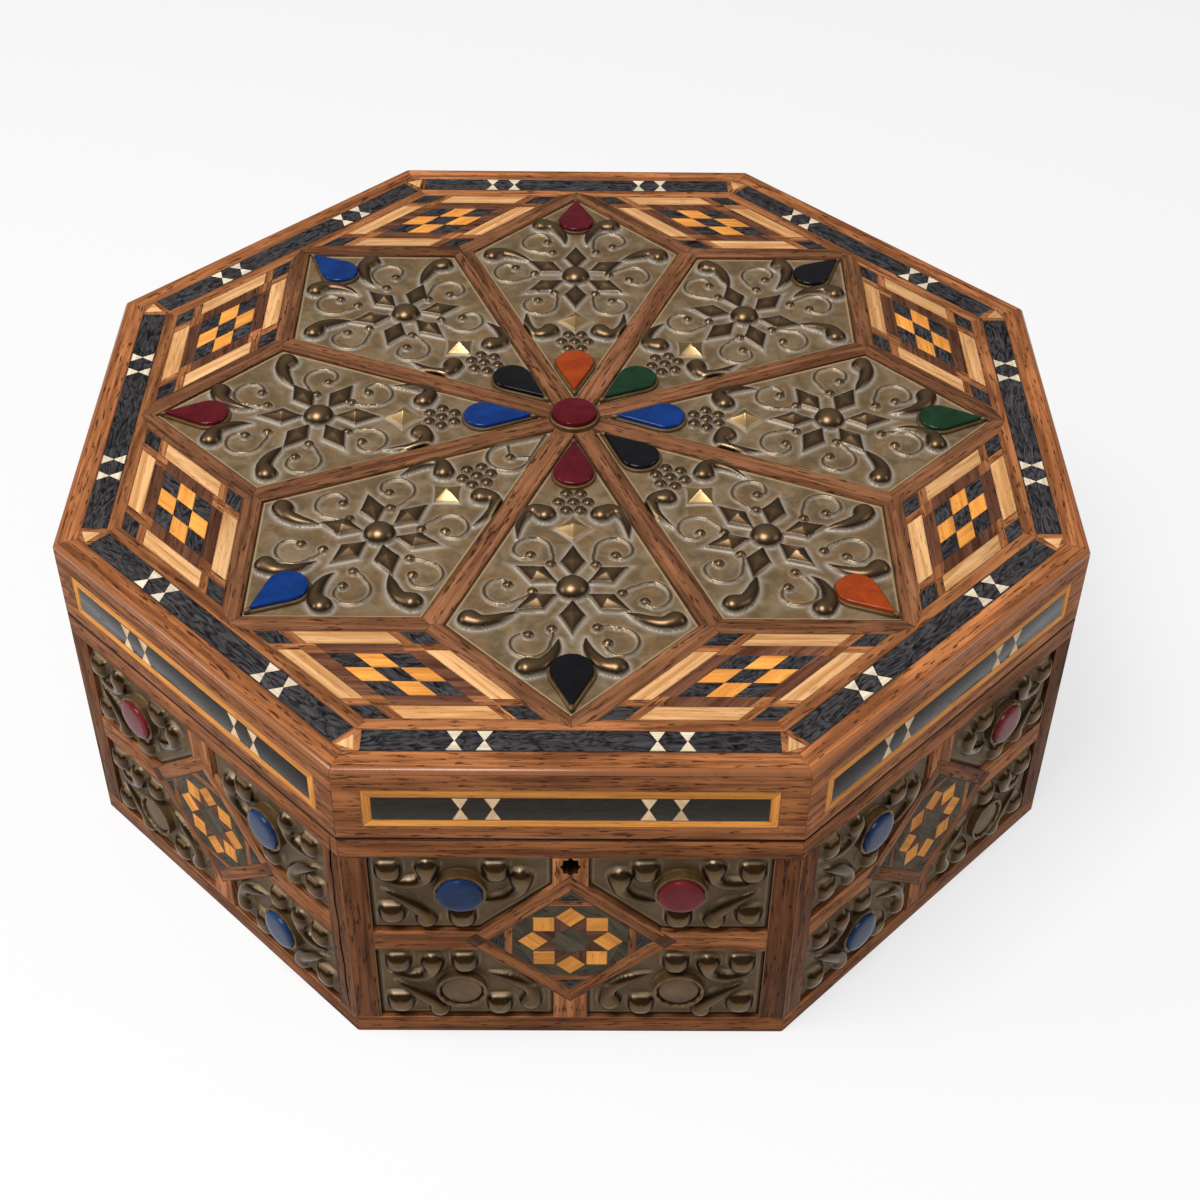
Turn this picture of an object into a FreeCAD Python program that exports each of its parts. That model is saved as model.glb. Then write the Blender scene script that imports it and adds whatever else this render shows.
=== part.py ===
import FreeCAD, Part
import math
import os

from FreeCAD import Vector

os.makedirs("parts", exist_ok=True)

# Overall sizes, in millimetres and degrees
sides = 8
across_flats = 400.0
body_height = 113.0
lid_height = 35.0
lid_gap = 0.6
lid_opening = 100.0
fit = 0.15

# Carcass
core_thickness = 10.0
facing_thickness = 4.0
bottom_thickness = 8.0
bottom_seat = 5.0

# Wall facing
top_rail_width = 9.75
bottom_rail_width = 9.0
mid_rail_width = 11.25
stile_width = 9.8
muntin_width = 13.0
diamond_width_share = 0.478
diamond_height_share = 0.3274
diamond_inner_share = 0.778

# Relief panels in the walls
wall_plate_thickness = 2.0
panel_gap = 0.3
boss_root = 0.5
bud_height = 4.0
bud_half_share = 0.072
comma_height = 4.4
comma_radius_share = 0.066
collar_radius_share = 0.1445
collar_height = 4.2
side_stone_share = 0.875
side_stone_height = 1.8
collar_facets = 12

# Lid frame
rail_thickness = 14.0
rim_width = 9.5
board_thickness = 8.0
veneer_thickness = 2.5
arris_radius = 2.0

# Lid marquetry
band_width = 10.0
band_end_setback = 1.8
border_width = 5.5
star_overlap = 4.0
rib_width = 8.0
spoke_width = 9.0
rhombus_ring_share = 0.145
rhombus_core_share = 0.26
core_rows = 3
corner_triangle_shares = (0.2, 0.82, 0.33)

# Inlay let into the lid sides
inlay_depth = 1.5
inlay_end_margin = 10.0
inlay_top_margin = 10.25
inlay_height = 18.25
inlay_border_width = 3.4
mitre_gap = 0.1

# Lid reliefs and stones
lid_plate_thickness = 1.5
dome_radius_share = 0.0375
dome_height = 5.0
dome_facets = 12
dome_shoulder_shares = (0.72, 0.66)
petal_count = 6
petal_start_share = 0.046
petal_end_share = 0.1285
petal_half_width_share = 0.028
petal_height = 3.2
petal_belly_share = 0.45
stud_half_share = 0.0435
stud_height = 4.0
lid_comma_radius_share = 0.021
lid_comma_height = 3.4
drop_width_share = 0.0905
outer_drop_length_share = 0.148
inner_drop_length_share = 0.159
seat_margin = 1.25
seat_height = 1.4
seat_spoke_gap = 0.55
drop_height = 1.8
drop_facets = 9
centre_seat_radius = 10.5
centre_stone_radius = 9.4
centre_seat_height = 2.2
centre_stone_height = 2.0
centre_facets = 16

# Hinges
hinge_length = 40.0
hinge_offset = 48.0
hinge_axis_inset = 3.2
leaf_width = 9.4
leaf_thickness = 1.5
knuckle_radius = 2.8
knuckle_count = 3
knuckle_gap = 0.3
pin_radius = 1.3
pin_clearance = 0.05
knuckle_pocket_gap = 0.4
chamfer_spare_angle = 1.0
chamfer_overrun = 8.0

# Lock and catch
lock_width = 46.0
lock_height = 28.0
lock_front_skin = 1.5
lock_plate = 1.2
cover_margin = 4.0
keyhole_drop = 14.6
keyhole_half_width = 4.0
keyhole_half_height = 5.2
keyhole_waist_share = 0.75
keyhole_points = 8
bolt_drop = 7.4
bolt_height = 5.5
bolt_block_length = 14.0
bolt_block_lead = 2.0
bolt_rest_gap = 1.15
bolt_tongue_thickness = 2.2
bolt_play = 0.25
bolt_throw = 6.0
talon_width = 5.0
talon_depth = 1.6
guide_height = 1.5
guide_clear_half = 4.4
catch_offset = 14.0
catch_thickness = 2.5
catch_width = 5.0
catch_foot = 1.75
catch_slot_gap = 0.5
eye_play = 0.5
catch_plate_length = 40.0
catch_plate_width = 8.0
catch_plate_thickness = 1.5
spring_thickness = 0.5
spring_half_length = 9.0
spring_flat_half = 2.0
spring_width = 4.0

# Square nails
nail_head = 3.6
nail_head_depth = 0.8
nail_shank = 1.8
nail_length = 6.0
nail_fit = 0.1
hinge_nail_offset = 13.0
catch_nail_offset = 15.0

# Where the bosses stand in a wall panel, as shares of its opening
collar_shares = {"upper": (0.495, 0.572), "lower": (0.477, 0.448)}
bud_shares = {
    "upper": [(0.11, 0.862), (0.69, 0.862), (0.115, 0.25), (0.5, 0.2)],
    "lower": [(0.125, 0.862), (0.5, 0.862), (0.12, 0.23), (0.69, 0.2)],
}
wall_comma_shares = {
    "upper": [(0.318, 0.84, 0.07, 0.61), (0.829, 0.70, 0.635, 0.40), (0.29, 0.19, 0.08, 0.50)],
    "lower": [(0.312, 0.79, 0.09, 0.56), (0.875, 0.27, 0.64, 0.56), (0.346, 0.15, 0.105, 0.46)],
}

# Where the motifs stand on a lid panel: along its axis and across it, as shares of the star radius
dome_share = 0.592
stud_share = 0.397
outer_drop_share = 0.9483
lid_comma_shares = [
    (0.827, 0.095, 0.749, 0.036),
    (0.676, 0.217, 0.648, 0.117),
    (0.335, 0.069, 0.413, 0.123),
]

# Stones: side names run round the box from the front, with the front right next
side_names = ["front", "front_right", "right", "back_right", "back", "back_left", "left", "front_left"]
outer_drops = ["black", "orange", "green", "black", "red", "blue", "red", "blue"]
inner_drops = ["red", "black", "blue", "green", "orange", "black", "blue", None]
whole_wall = {"upper_left": "blue", "upper_right": "red", "lower_left": "red", "lower_right": "blue"}
worn_walls = {
    "front": {"upper_left": "blue", "upper_right": "red"},
    "front_right": {"upper_left": "blue", "upper_right": "red", "lower_left": "blue"},
    "front_left": {"upper_left": "red", "upper_right": "blue", "lower_right": "blue"},
}

# Heights and apothems worked out from the sizes
apothem = across_flats / 2
core_outer = apothem - facing_thickness
core_inner = core_outer - core_thickness
lid_bottom = body_height + lid_gap
lid_top = lid_bottom + lid_height
veneer_bottom = lid_top - veneer_thickness
board_bottom = veneer_bottom - board_thickness
lid_plate_top = veneer_bottom + lid_plate_thickness
rim_inner = apothem - rim_width
band_inner = rim_inner - band_width
field_edge = band_inner - border_width
star_radius = field_edge + star_overlap
plate_face = core_outer + wall_plate_thickness
stone_face = plate_face + collar_height
mid_height = bottom_rail_width + (body_height - top_rail_width - bottom_rail_width) / 2
hinge_y = apothem - hinge_axis_inset
hinge_z = body_height + lid_gap / 2
half_turn = math.pi / sides
half_tan = math.tan(half_turn)
half_sin = math.sin(half_turn)
half_cos = math.cos(half_turn)


# Shape helpers
def outline(points):
    return Part.Face(Part.makePolygon(points + points[:1]))


def flat_prism(points, low, high):
    return outline([Vector(x, y, low) for x, y in points]).extrude(Vector(0, 0, high - low))


def side_prism(points, inner, outer):
    return outline([Vector(x, -inner, z) for x, z in points]).extrude(Vector(0, inner - outer, 0))


def about(middle, reach):
    return middle - reach, middle + reach


def rectangle(x_range, z_range):
    (left, right), (low, high) = x_range, z_range
    return [(left, low), (right, low), (right, high), (left, high)]


def block(x_range, y_range, z_range):
    size = [top - low for low, top in (x_range, y_range, z_range)]
    return Part.makeBox(*size, Vector(x_range[0], y_range[0], z_range[0]))


def front_block(x_range, depth_range, z_range):
    return block(x_range, (-depth_range[1], -depth_range[0]), z_range)


def cut_all(shape, tools):
    for tool in tools:
        shape = shape.cut(tool)
    return shape


def spun(shape, side):
    turned = shape.copy()
    turned.rotate(Vector(), Vector(0, 0, 1), math.degrees(2 * half_turn * side))
    return turned


def around(shapes):
    return [spun(shape, side) for side in range(sides) for shape in shapes]


def mirrored(shape):
    return shape.mirror(Vector(), Vector(1, 0, 0))


def mitred_bar(inner, outer, low, high):
    near, far = inner * half_tan, outer * half_tan
    return flat_prism([(-far, -outer), (far, -outer), (near, -inner), (-near, -inner)], low, high)


def octagon(radius, low, high):
    corners = [((2 * side + 1) * half_turn, radius / half_cos) for side in range(sides)]
    return flat_prism([(far * math.sin(turn), -far * math.cos(turn)) for turn, far in corners], low, high)


def pyramid(points, peak):
    pairs = zip(points, points[1:] + points[:1])
    faces = [outline(points)] + [outline([first, second, peak]) for first, second in pairs]
    return Part.makeSolid(Part.makeShell(faces))


def along_vertex(far):
    return far * half_sin, -far * half_cos


def over_vertex(point):
    turn = 2 * math.atan2(-half_cos, half_sin)
    x, y = point
    return x * math.cos(turn) + y * math.sin(turn), x * math.sin(turn) - y * math.cos(turn)


def comma_points(head, tail, radius):
    turn = math.atan2(tail[1] - head[1], tail[0] - head[0])
    rounds = [turn + math.pi * step for step in (1 / 2, 5 / 6, 7 / 6, 3 / 2)]
    return [tail] + [(head[0] + radius * math.cos(a), head[1] + radius * math.sin(a)) for a in rounds]


def nail(place, way, grow):
    wide, slim = about(0, nail_head / 2 + grow), about(0, nail_shank / 2 + grow)
    head = block(wide, wide, (0, nail_head_depth))
    shank = block(slim, slim, (0, nail_length + grow))
    solid = head.fuse(shank)
    solid.Placement = FreeCAD.Placement(place, FreeCAD.Rotation(Vector(0, 0, 1), way))
    return solid


def ring_points(count, radius, start):
    turns = [start + 2 * math.pi * step / count for step in range(count)]
    return [(radius * math.cos(turn), radius * math.sin(turn)) for turn in turns]


# Keyhole, drawn as a star on the front side
def keyhole(inner, outer):
    centre = body_height - keyhole_drop
    points = []
    for step in range(2 * keyhole_points):
        turn = math.pi * step / keyhole_points
        share = keyhole_waist_share if step % 2 else 1
        across, rise = keyhole_half_width * math.sin(turn), keyhole_half_height * math.cos(turn)
        points.append((share * across, centre + share * rise))
    return side_prism(points, inner, outer)


# Hinges, with their pockets and the sloped back edges that let the lid open
def hinge_rod(radius, start, end):
    return Part.makeCylinder(radius, end - start, Vector(start, hinge_y, hinge_z), Vector(1, 0, 0))


def knuckles(own_lid):
    pitch = hinge_length / knuckle_count
    starts = [pitch * n - hinge_length / 2 for n in range(knuckle_count)]
    return [(start, start + pitch) for n, start in enumerate(starts) if n % 2 == int(own_lid)]


def hinge_leaf(own_lid):
    low = lid_bottom if own_lid else body_height - leaf_thickness
    leaf_z = (low, low + leaf_thickness)
    leaf = block(about(0, hinge_length / 2), (hinge_y - leaf_width, hinge_y), leaf_z)
    for start, end in knuckles(not own_lid):
        notch_x = (start - knuckle_gap, end + knuckle_gap)
        leaf = leaf.cut(block(notch_x, (hinge_y - knuckle_radius - knuckle_gap, hinge_y), leaf_z))
    for start, end in knuckles(own_lid):
        leaf = leaf.fuse(hinge_rod(knuckle_radius, start, end))
    bore = hinge_rod(pin_radius + pin_clearance, -hinge_length, hinge_length)
    return cut_all(leaf, [bore] + hinge_nails(own_lid, nail_fit)).removeSplitter()


def hinge_nails(own_lid, grow):
    height = lid_bottom if own_lid else body_height
    way = Vector(0, 0, 1) if own_lid else Vector(0, 0, -1)
    depth = hinge_y - leaf_width / 2 - knuckle_radius / 2
    return [nail(Vector(x, depth, height), way, grow) for x in (-hinge_nail_offset, hinge_nail_offset)]


def at_hinges(shapes):
    moved = []
    for place in (-hinge_offset, hinge_offset):
        for shape in shapes:
            copy = shape.copy()
            copy.translate(Vector(place, 0, 0))
            moved.append(copy)
    return moved


def hinge_pocket(own_lid):
    low = lid_bottom if own_lid else body_height - leaf_thickness
    half = hinge_length / 2 + fit
    mortise = block(about(0, half), (hinge_y - leaf_width - fit, hinge_y), (low, low + leaf_thickness))
    channel = hinge_rod(knuckle_radius + knuckle_pocket_gap, -half, half)
    return at_hinges([mortise, channel] + hinge_nails(own_lid, nail_fit))


def back_slope(own_lid):
    drop = chamfer_overrun * math.tan(math.radians(lid_opening / 2 + chamfer_spare_angle))
    end = hinge_z + drop if own_lid else hinge_z - drop
    half = apothem * half_tan + chamfer_overrun
    corners = [(hinge_y, hinge_z), (hinge_y + chamfer_overrun, hinge_z), (hinge_y + chamfer_overrun, end)]
    return outline([Vector(-half, y, z) for y, z in corners]).extrude(Vector(2 * half, 0, 0))


# Lock in the front wall, and the catch under the lid that its bolt holds
case_front = core_outer - lock_front_skin
cover_face = core_inner + lock_plate
cavity_front = case_front - lock_plate
lock_mid = (cavity_front + cover_face) / 2
lock_low = body_height - lock_height
bolt_low = body_height - bolt_drop - bolt_height / 2
bolt_top = bolt_low + bolt_height
bolt_start = bolt_block_lead - bolt_block_length
tongue_end = catch_offset - catch_thickness / 2 - bolt_rest_gap
catch_low = bolt_low - eye_play - catch_foot
cavity_half = lock_width / 2 - lock_plate
cavity_top = body_height - lock_plate


def lock_nails(grow):
    height = body_height - lock_height / 2
    reach = lock_width / 2 + cover_margin / 2
    return [nail(Vector(x, -core_inner, height), Vector(0, -1, 0), grow) for x in (-reach, reach)]


def catch_nails(grow):
    places = [Vector(x, -lock_mid, lid_bottom) for x in (-catch_nail_offset, catch_nail_offset)]
    return [nail(place, Vector(0, 0, 1), grow) for place in places]


def make_lock_case():
    case = front_block(about(0, lock_width / 2), (cover_face, case_front), (lock_low, body_height))
    depth = (cover_face, cavity_front)
    case = case.cut(front_block(about(0, cavity_half), depth, (lock_low + lock_plate, cavity_top)))
    guide_top = bolt_low - bolt_play
    guide_ends = [(-cavity_half, -guide_clear_half), (guide_clear_half, catch_offset - catch_thickness)]
    for ends in guide_ends:
        case = case.fuse(front_block(ends, depth, (guide_top - guide_height, guide_top)))
    slot_x = about(catch_offset, catch_thickness / 2 + catch_slot_gap)
    slot_depth = about(lock_mid, catch_width / 2 + catch_slot_gap)
    slot = front_block(slot_x, slot_depth, (cavity_top, body_height))
    return case.cut(slot).cut(keyhole(cavity_front, case_front)).removeSplitter()


def make_lock_cover():
    half = lock_width / 2 + cover_margin
    cover = front_block(about(0, half), (core_inner, cover_face), (lock_low - cover_margin, body_height))
    return cut_all(cover, lock_nails(nail_fit))


def make_lock_bolt():
    depth = (cover_face + bolt_play, cavity_front - bolt_play)
    body = front_block((bolt_start, bolt_block_lead), depth, (bolt_low, bolt_top))
    tongue_depth = about(lock_mid, bolt_tongue_thickness / 2)
    tongue = front_block((bolt_block_lead, tongue_end), tongue_depth, (bolt_low, bolt_top))
    talon = front_block((-talon_width, 0), (cover_face, cavity_front), (bolt_low, bolt_low + talon_depth))
    return body.fuse(tongue).cut(talon).removeSplitter()


def make_lock_spring():
    middle = (bolt_start + bolt_block_lead + bolt_throw) / 2
    low, high = bolt_top + bolt_play, cavity_top - bolt_play - spring_thickness
    half, flat = spring_half_length, spring_flat_half
    line = [(middle + x, z) for x, z in ((-half, high), (-flat, low), (flat, low), (half, high))]
    points = line + [(x, z + spring_thickness) for x, z in reversed(line)]
    return side_prism(points, *about(lock_mid, spring_width / 2))


def make_lid_catch():
    plate_z = (lid_bottom, lid_bottom + catch_plate_thickness)
    plate = front_block(about(0, catch_plate_length / 2), about(lock_mid, catch_plate_width / 2), plate_z)
    tab_x = about(catch_offset, catch_thickness / 2)
    tab = front_block(tab_x, about(lock_mid, catch_width / 2), (catch_low, lid_bottom))
    eye_depth = about(lock_mid, bolt_tongue_thickness / 2 + eye_play)
    eye = front_block(tab_x, eye_depth, (bolt_low - eye_play, bolt_top + eye_play))
    return cut_all(plate.fuse(tab).cut(eye), catch_nails(nail_fit)).removeSplitter()


def lock_pocket():
    half = lock_width / 2 + fit
    deep = front_block(about(0, half), (core_inner, case_front), (lock_low - fit, body_height))
    rim_z = (lock_low - cover_margin - fit, body_height)
    shallow = front_block(about(0, half + cover_margin), (core_inner, cover_face), rim_z)
    return [deep, shallow, keyhole(case_front, core_outer)] + lock_nails(nail_fit)


def catch_pocket():
    half, reach = catch_plate_length / 2 + fit, catch_plate_width / 2 + fit
    bed_z = (lid_bottom, lid_bottom + catch_plate_thickness)
    return [front_block(about(0, half), about(lock_mid, reach), bed_z)] + catch_nails(nail_fit)


# Carcass walls and bottom
def make_walls():
    bottom = octagon(core_inner + bottom_seat, 0, bottom_thickness)
    wall = mitred_bar(core_inner, core_outer, 0, body_height).cut(bottom)
    walls = {}
    for side, name in enumerate(side_names):
        walls["wall_" + name] = [spun(wall, side)]
    walls["wall_front"] = [cut_all(walls["wall_front"][0], lock_pocket())]
    walls["wall_back"] = [cut_all(walls["wall_back"][0], hinge_pocket(False))]
    walls["bottom_board"] = [bottom]
    return walls


# Facing strips on the walls, around the diamond
face_half = apothem * half_tan
opening_outer = face_half - stile_width
opening_inner = muntin_width / 2
opening_width = opening_outer - opening_inner
diamond_half_width = diamond_width_share * face_half
diamond_half_height = diamond_height_share * body_height
bud_half = bud_half_share * opening_width
comma_radius = comma_radius_share * opening_width
collar_radius = collar_radius_share * opening_width
side_stone_radius = side_stone_share * collar_radius
upper_low = mid_height + mid_rail_width / 2
lower_top = mid_height - mid_rail_width / 2
upper_top = body_height - top_rail_width


def diamond_x(rise):
    return diamond_half_width * (1 - rise / diamond_half_height)


def diamond_rise(x):
    return diamond_half_height * (1 - x / diamond_half_width)


def both_ways(points):
    return [points, [(-x, z) for x, z in points]]


def turned_over(points):
    return [(x, 2 * mid_height - z) for x, z in points]


def mitred_side(points):
    strip = side_prism(points, core_outer, apothem)
    return strip.common(mitred_bar(core_outer, apothem, 0, body_height))


def make_facing():
    top = rectangle(about(0, face_half), (upper_top, body_height))
    bottom = rectangle(about(0, face_half), (0, bottom_rail_width))
    rails = around([mitred_side(top), mitred_side(bottom)])
    rails = [cut_all(rail, [back_slope(False)] + hinge_pocket(False)) for rail in rails]
    stile = rectangle((opening_outer, face_half), (bottom_rail_width, upper_top))
    stiles = around([mitred_side(points) for points in both_ways(stile)])
    rise = mid_rail_width / 2
    cross = [(opening_outer, lower_top), (opening_outer, upper_low), (diamond_x(rise), upper_low),
             (diamond_half_width, mid_height), (diamond_x(rise), lower_top)]
    shoulder = mid_height + diamond_rise(opening_inner)
    upright = [(-opening_inner, upper_top), (opening_inner, upper_top), (opening_inner, shoulder),
               (0, mid_height + diamond_half_height), (-opening_inner, shoulder)]
    foot = [(x, bottom_rail_width if z == upper_top else z) for x, z in turned_over(upright)]
    bars = [side_prism(points, core_outer, apothem) for points in both_ways(cross) + [foot]]
    head = side_prism(upright, core_outer, apothem)
    bars = around(bars + [head])
    bars[len(bars) // sides - 1] = head.cut(keyhole(core_outer, apothem))
    return {"facing_rails": rails, "facing_stiles": stiles, "facing_cross_bars": bars}


def make_diamonds():
    inner_x, inner_z = diamond_half_width * diamond_inner_share, diamond_half_height * diamond_inner_share
    middle = (diamond_half_width + inner_x) / 2
    rise = diamond_rise(middle)
    corner, crown = (inner_x, mid_height), (0, mid_height + inner_z)
    shoulder = (middle, mid_height + rise)
    strip = [(0, mid_height + diamond_half_height), shoulder, corner, crown]
    tip = [(diamond_half_width, mid_height), shoulder, corner, (middle, mid_height - rise)]
    field = [corner, crown, (-inner_x, mid_height), (0, mid_height - inner_z)]
    strips = both_ways(strip) + both_ways(turned_over(strip))
    return {
        "diamond_strips": around([side_prism(points, core_outer, apothem) for points in strips]),
        "diamond_tips": around([side_prism(points, core_outer, apothem) for points in both_ways(tip)]),
        "medallions": around([side_prism(field, core_outer, apothem)]),
    }


# Relief panels of the walls: one sheet each, raised into buds and commas
def panel_points(row, inset):
    low, high = (upper_low, upper_top) if row == "upper" else (bottom_rail_width, lower_top)
    slope = math.hypot(diamond_half_width, diamond_half_height) / diamond_half_width * inset
    near, far = opening_inner + inset, opening_outer - inset
    step = inset * math.hypot(diamond_half_width, diamond_half_height) / diamond_half_height
    if row == "upper":
        cut_low = low + inset
        cut_x = diamond_x(cut_low - mid_height) + step
        return [(-far, cut_low), (-cut_x, cut_low), (-near, mid_height + diamond_rise(near) + slope),
                (-near, high - inset), (-far, high - inset)]
    cut_high = high - inset
    cut_x = diamond_x(mid_height - cut_high) + step
    return [(-far, low + inset), (-near, low + inset), (-near, mid_height - diamond_rise(near) - slope),
            (-cut_x, cut_high), (-far, cut_high)]


def panel_place(row, share_x, share_z):
    low, high = (upper_low, upper_top) if row == "upper" else (bottom_rail_width, lower_top)
    return share_x * opening_width - opening_outer, low + share_z * (high - low)


def boss(points, peak, height):
    root = plate_face - boss_root
    return pyramid([Vector(x, -root, z) for x, z in points], Vector(peak[0], -plate_face - height, peak[1]))


def make_panel(row):
    sheet = side_prism(panel_points(row, panel_gap), core_outer, plate_face)
    bosses = []
    for spot in bud_shares[row]:
        x, z = panel_place(row, *spot)
        square = rectangle(about(x, bud_half), about(z, bud_half))
        bosses.append(boss(square, (x, z), bud_height))
    for spot in wall_comma_shares[row]:
        head, tail = panel_place(row, *spot[:2]), panel_place(row, *spot[2:])
        bosses.append(boss(comma_points(head, tail, comma_radius), head, comma_height))
    return sheet.multiFuse(bosses).removeSplitter()


def side_disc(row, radius, inner, outer):
    x, z = panel_place(row, *collar_shares[row])
    points = ring_points(collar_facets, radius, math.pi / collar_facets)
    return side_prism([(x + across, z + up) for across, up in points], inner, outer)


def make_wall_reliefs():
    nodes = {"side_collars": [], "side_stones_blue": [], "side_stones_red": []}
    for row in ("upper", "lower"):
        panel = make_panel(row)
        collar = side_disc(row, collar_radius, plate_face, stone_face)
        stone = side_disc(row, side_stone_radius, stone_face, stone_face + side_stone_height)
        for hand in ("left", "right"):
            place = row + "_" + hand
            flip = mirrored if hand == "right" else Part.Shape.copy
            nodes["side_relief_" + place] = around([flip(panel)])
            nodes["side_collars"] += around([flip(collar)])
            for side, name in enumerate(side_names):
                colour = worn_walls.get(name, whole_wall).get(place)
                if colour:
                    nodes["side_stones_" + colour].append(spun(flip(stone), side))
    return nodes


# Lid frame and board
def make_lid_frame():
    rail = mitred_bar(apothem - rail_thickness, apothem, lid_bottom, lid_top)
    rail = rail.cut(octagon(rim_inner, board_bottom, lid_top))
    crest = [edge for edge in rail.Edges
             if all(abs(v.Y + apothem) < fit and abs(v.Z - lid_top) < fit for v in edge.Vertexes)]
    rail = rail.makeFillet(arris_radius, crest)
    half = face_half - inlay_end_margin
    high = lid_top - inlay_top_margin
    bed_z = (high - inlay_height, high)
    rail = rail.cut(front_block(about(0, half), (apothem - inlay_depth, apothem), bed_z))
    nodes = {"lid_board": [octagon(rim_inner, board_bottom, veneer_bottom)]}
    for side, name in enumerate(side_names):
        turned = spun(rail, side)
        if name.startswith("back"):
            turned = cut_all(turned, [back_slope(True)] + hinge_pocket(True))
        if name == "front":
            turned = cut_all(turned, catch_pocket())
        nodes["lid_rail_" + name] = [turned]
    return nodes


def make_side_inlay():
    half, high = face_half - inlay_end_margin, lid_top - inlay_top_margin
    low = high - inlay_height
    near, top, base = half - inlay_border_width, high - inlay_border_width, low + inlay_border_width
    upper = [(-half, high), (half, high), (near, top), (-near, top)]
    lower = [(-half, low), (half, low), (near, base), (-near, base)]
    gap = mitre_gap
    end = [(half, low + gap), (half, high - gap), (near, top - gap), (near, base + gap)]
    strips = [upper, lower, *both_ways(end)]
    band = rectangle(about(0, near), (base, top))
    back = apothem - inlay_depth
    return {
        "lid_side_borders": around([side_prism(points, back, apothem) for points in strips]),
        "lid_side_bands": around([side_prism(band, back, apothem)]),
    }


# Lid marquetry: the star, its spokes and the rhombi, in plan with the front side toward minus y
rib_step = rib_width / 2 * math.sqrt(2)
spoke_half = spoke_width / 2
kite_tip = star_radius - rib_step
kite_apex = spoke_half / half_sin
kite_belly = (kite_tip + spoke_half / half_cos) / (1 + half_tan)
rhombus_inner = (star_radius + rib_step) / (half_cos + half_sin)
rhombus_outer = field_edge / half_cos
acute = (star_radius + rib_step - field_edge, -field_edge)
belly = (kite_tip - kite_belly, -kite_belly)
dome_radius = dome_radius_share * star_radius
petal_start = petal_start_share * star_radius
petal_end = petal_end_share * star_radius
petal_half_width = petal_half_width_share * star_radius
stud_half = stud_half_share * star_radius
lid_comma_radius = lid_comma_radius_share * star_radius
drop_width = drop_width_share * star_radius
outer_drop_length = outer_drop_length_share * star_radius
inner_drop_length = inner_drop_length_share * star_radius


def veneer(points):
    return flat_prism(points, veneer_bottom, lid_top)


def rhombus_tile(u_range, v_range):
    origin, first, second = along_vertex(rhombus_inner), acute, over_vertex(acute)
    points = []
    for u, v in rectangle(u_range, v_range):
        points.append(tuple(o + u * (f - o) + v * (s - o) for o, f, s in zip(origin, first, second)))
    return veneer(points)


def make_rhombi():
    ring, core = rhombus_ring_share, rhombus_core_share
    ends, field, heart = [(0, ring), (1 - ring, 1)], (ring, 1 - ring), (core, 1 - core)
    dark = [rhombus_tile(u, v) for u in ends for v in ends]
    light = [rhombus_tile(field, v) for v in ends] + [rhombus_tile(u, field) for u in ends]
    pitch = (1 - 2 * core) / core_rows
    spans = [(core + pitch * n, core + pitch * (n + 1)) for n in range(core_rows)]
    for row, u in enumerate(spans):
        for column, v in enumerate(spans):
            (light if (row + column) % 2 else dark).append(rhombus_tile(u, v))
    walnut = rhombus_tile(field, field).cut(rhombus_tile(heart, heart))
    return {
        "lid_inlay_ebony": around(dark),
        "lid_inlay_lemonwood": around(light),
        "lid_rhombus_rings": around([walnut]),
    }


def make_star():
    junction = along_vertex(star_radius / (half_cos + half_sin))
    tip, end = (0, -kite_tip), (0, -star_radius)
    spoke = [(0, 0), (0, -kite_apex), belly, junction, over_vertex(belly), over_vertex((0, -kite_apex))]
    rib = [junction, belly, tip, end, acute, along_vertex(rhombus_inner)]
    ribs = [rib, [(-x, y) for x, y in rib]]
    right = [(band_inner * half_tan, -band_inner), along_vertex(rhombus_outer), acute]
    strip = right + [end] + [(-x, y) for x, y in reversed(right)]
    return {
        "lid_spokes": around([veneer(spoke)]),
        "lid_star_ribs": around([veneer(points) for points in ribs]),
        "lid_border_strips": around([veneer(strip)]),
    }


def make_bands():
    half = band_inner * half_tan - band_end_setback
    band = rectangle(about(0, half), (-band_inner, -rim_inner))
    low, high = band_inner / half_cos, rim_inner / half_cos
    near, far, wide = corner_triangle_shares
    apex = along_vertex(low + near * (high - low))
    base = along_vertex(low + far * (high - low))
    spread = wide * (high - low)
    side_point = (base[0] - spread * half_cos, base[1] - spread * half_sin)
    triangle = veneer([apex, side_point, over_vertex(side_point)])
    corner = [(half, -band_inner), (half, -rim_inner), along_vertex(high), over_vertex((half, -rim_inner)),
              over_vertex((half, -band_inner)), along_vertex(low)]
    return {
        "lid_bands": around([veneer(band)]),
        "lid_corner_triangles": around([triangle]),
        "lid_corner_blocks": around([veneer(corner).cut(triangle)]),
    }


# Lid reliefs: one sheet in each kite of the star, raised into a flower, a stud and commas
def lid_boss(points, peak, height):
    root = lid_plate_top - boss_root
    return pyramid([Vector(x, y, root) for x, y in points], Vector(*peak, lid_plate_top + height))


def dome(place):
    wide, tall = dome_shoulder_shares
    rings = []
    for radius, height in ((dome_radius, -boss_root), (wide * dome_radius, tall * dome_height)):
        ring = ring_points(dome_facets, radius, 0)
        rings.append([Vector(place[0] + x, place[1] + y, lid_plate_top + height) for x, y in ring])
    peak = Vector(place[0], place[1], lid_plate_top + dome_height)
    faces = [outline(rings[0])]
    for n in range(dome_facets):
        low, high = (rings[0][n - 1], rings[0][n]), (rings[1][n], rings[1][n - 1])
        faces += [outline([*low, *high]), outline([*high, peak])]
    return Part.makeSolid(Part.makeShell(faces))


def turned_about(place, turn, far, wide):
    x = far * math.cos(turn) - wide * math.sin(turn)
    y = far * math.sin(turn) + wide * math.cos(turn)
    return place[0] + x, place[1] + y


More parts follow.
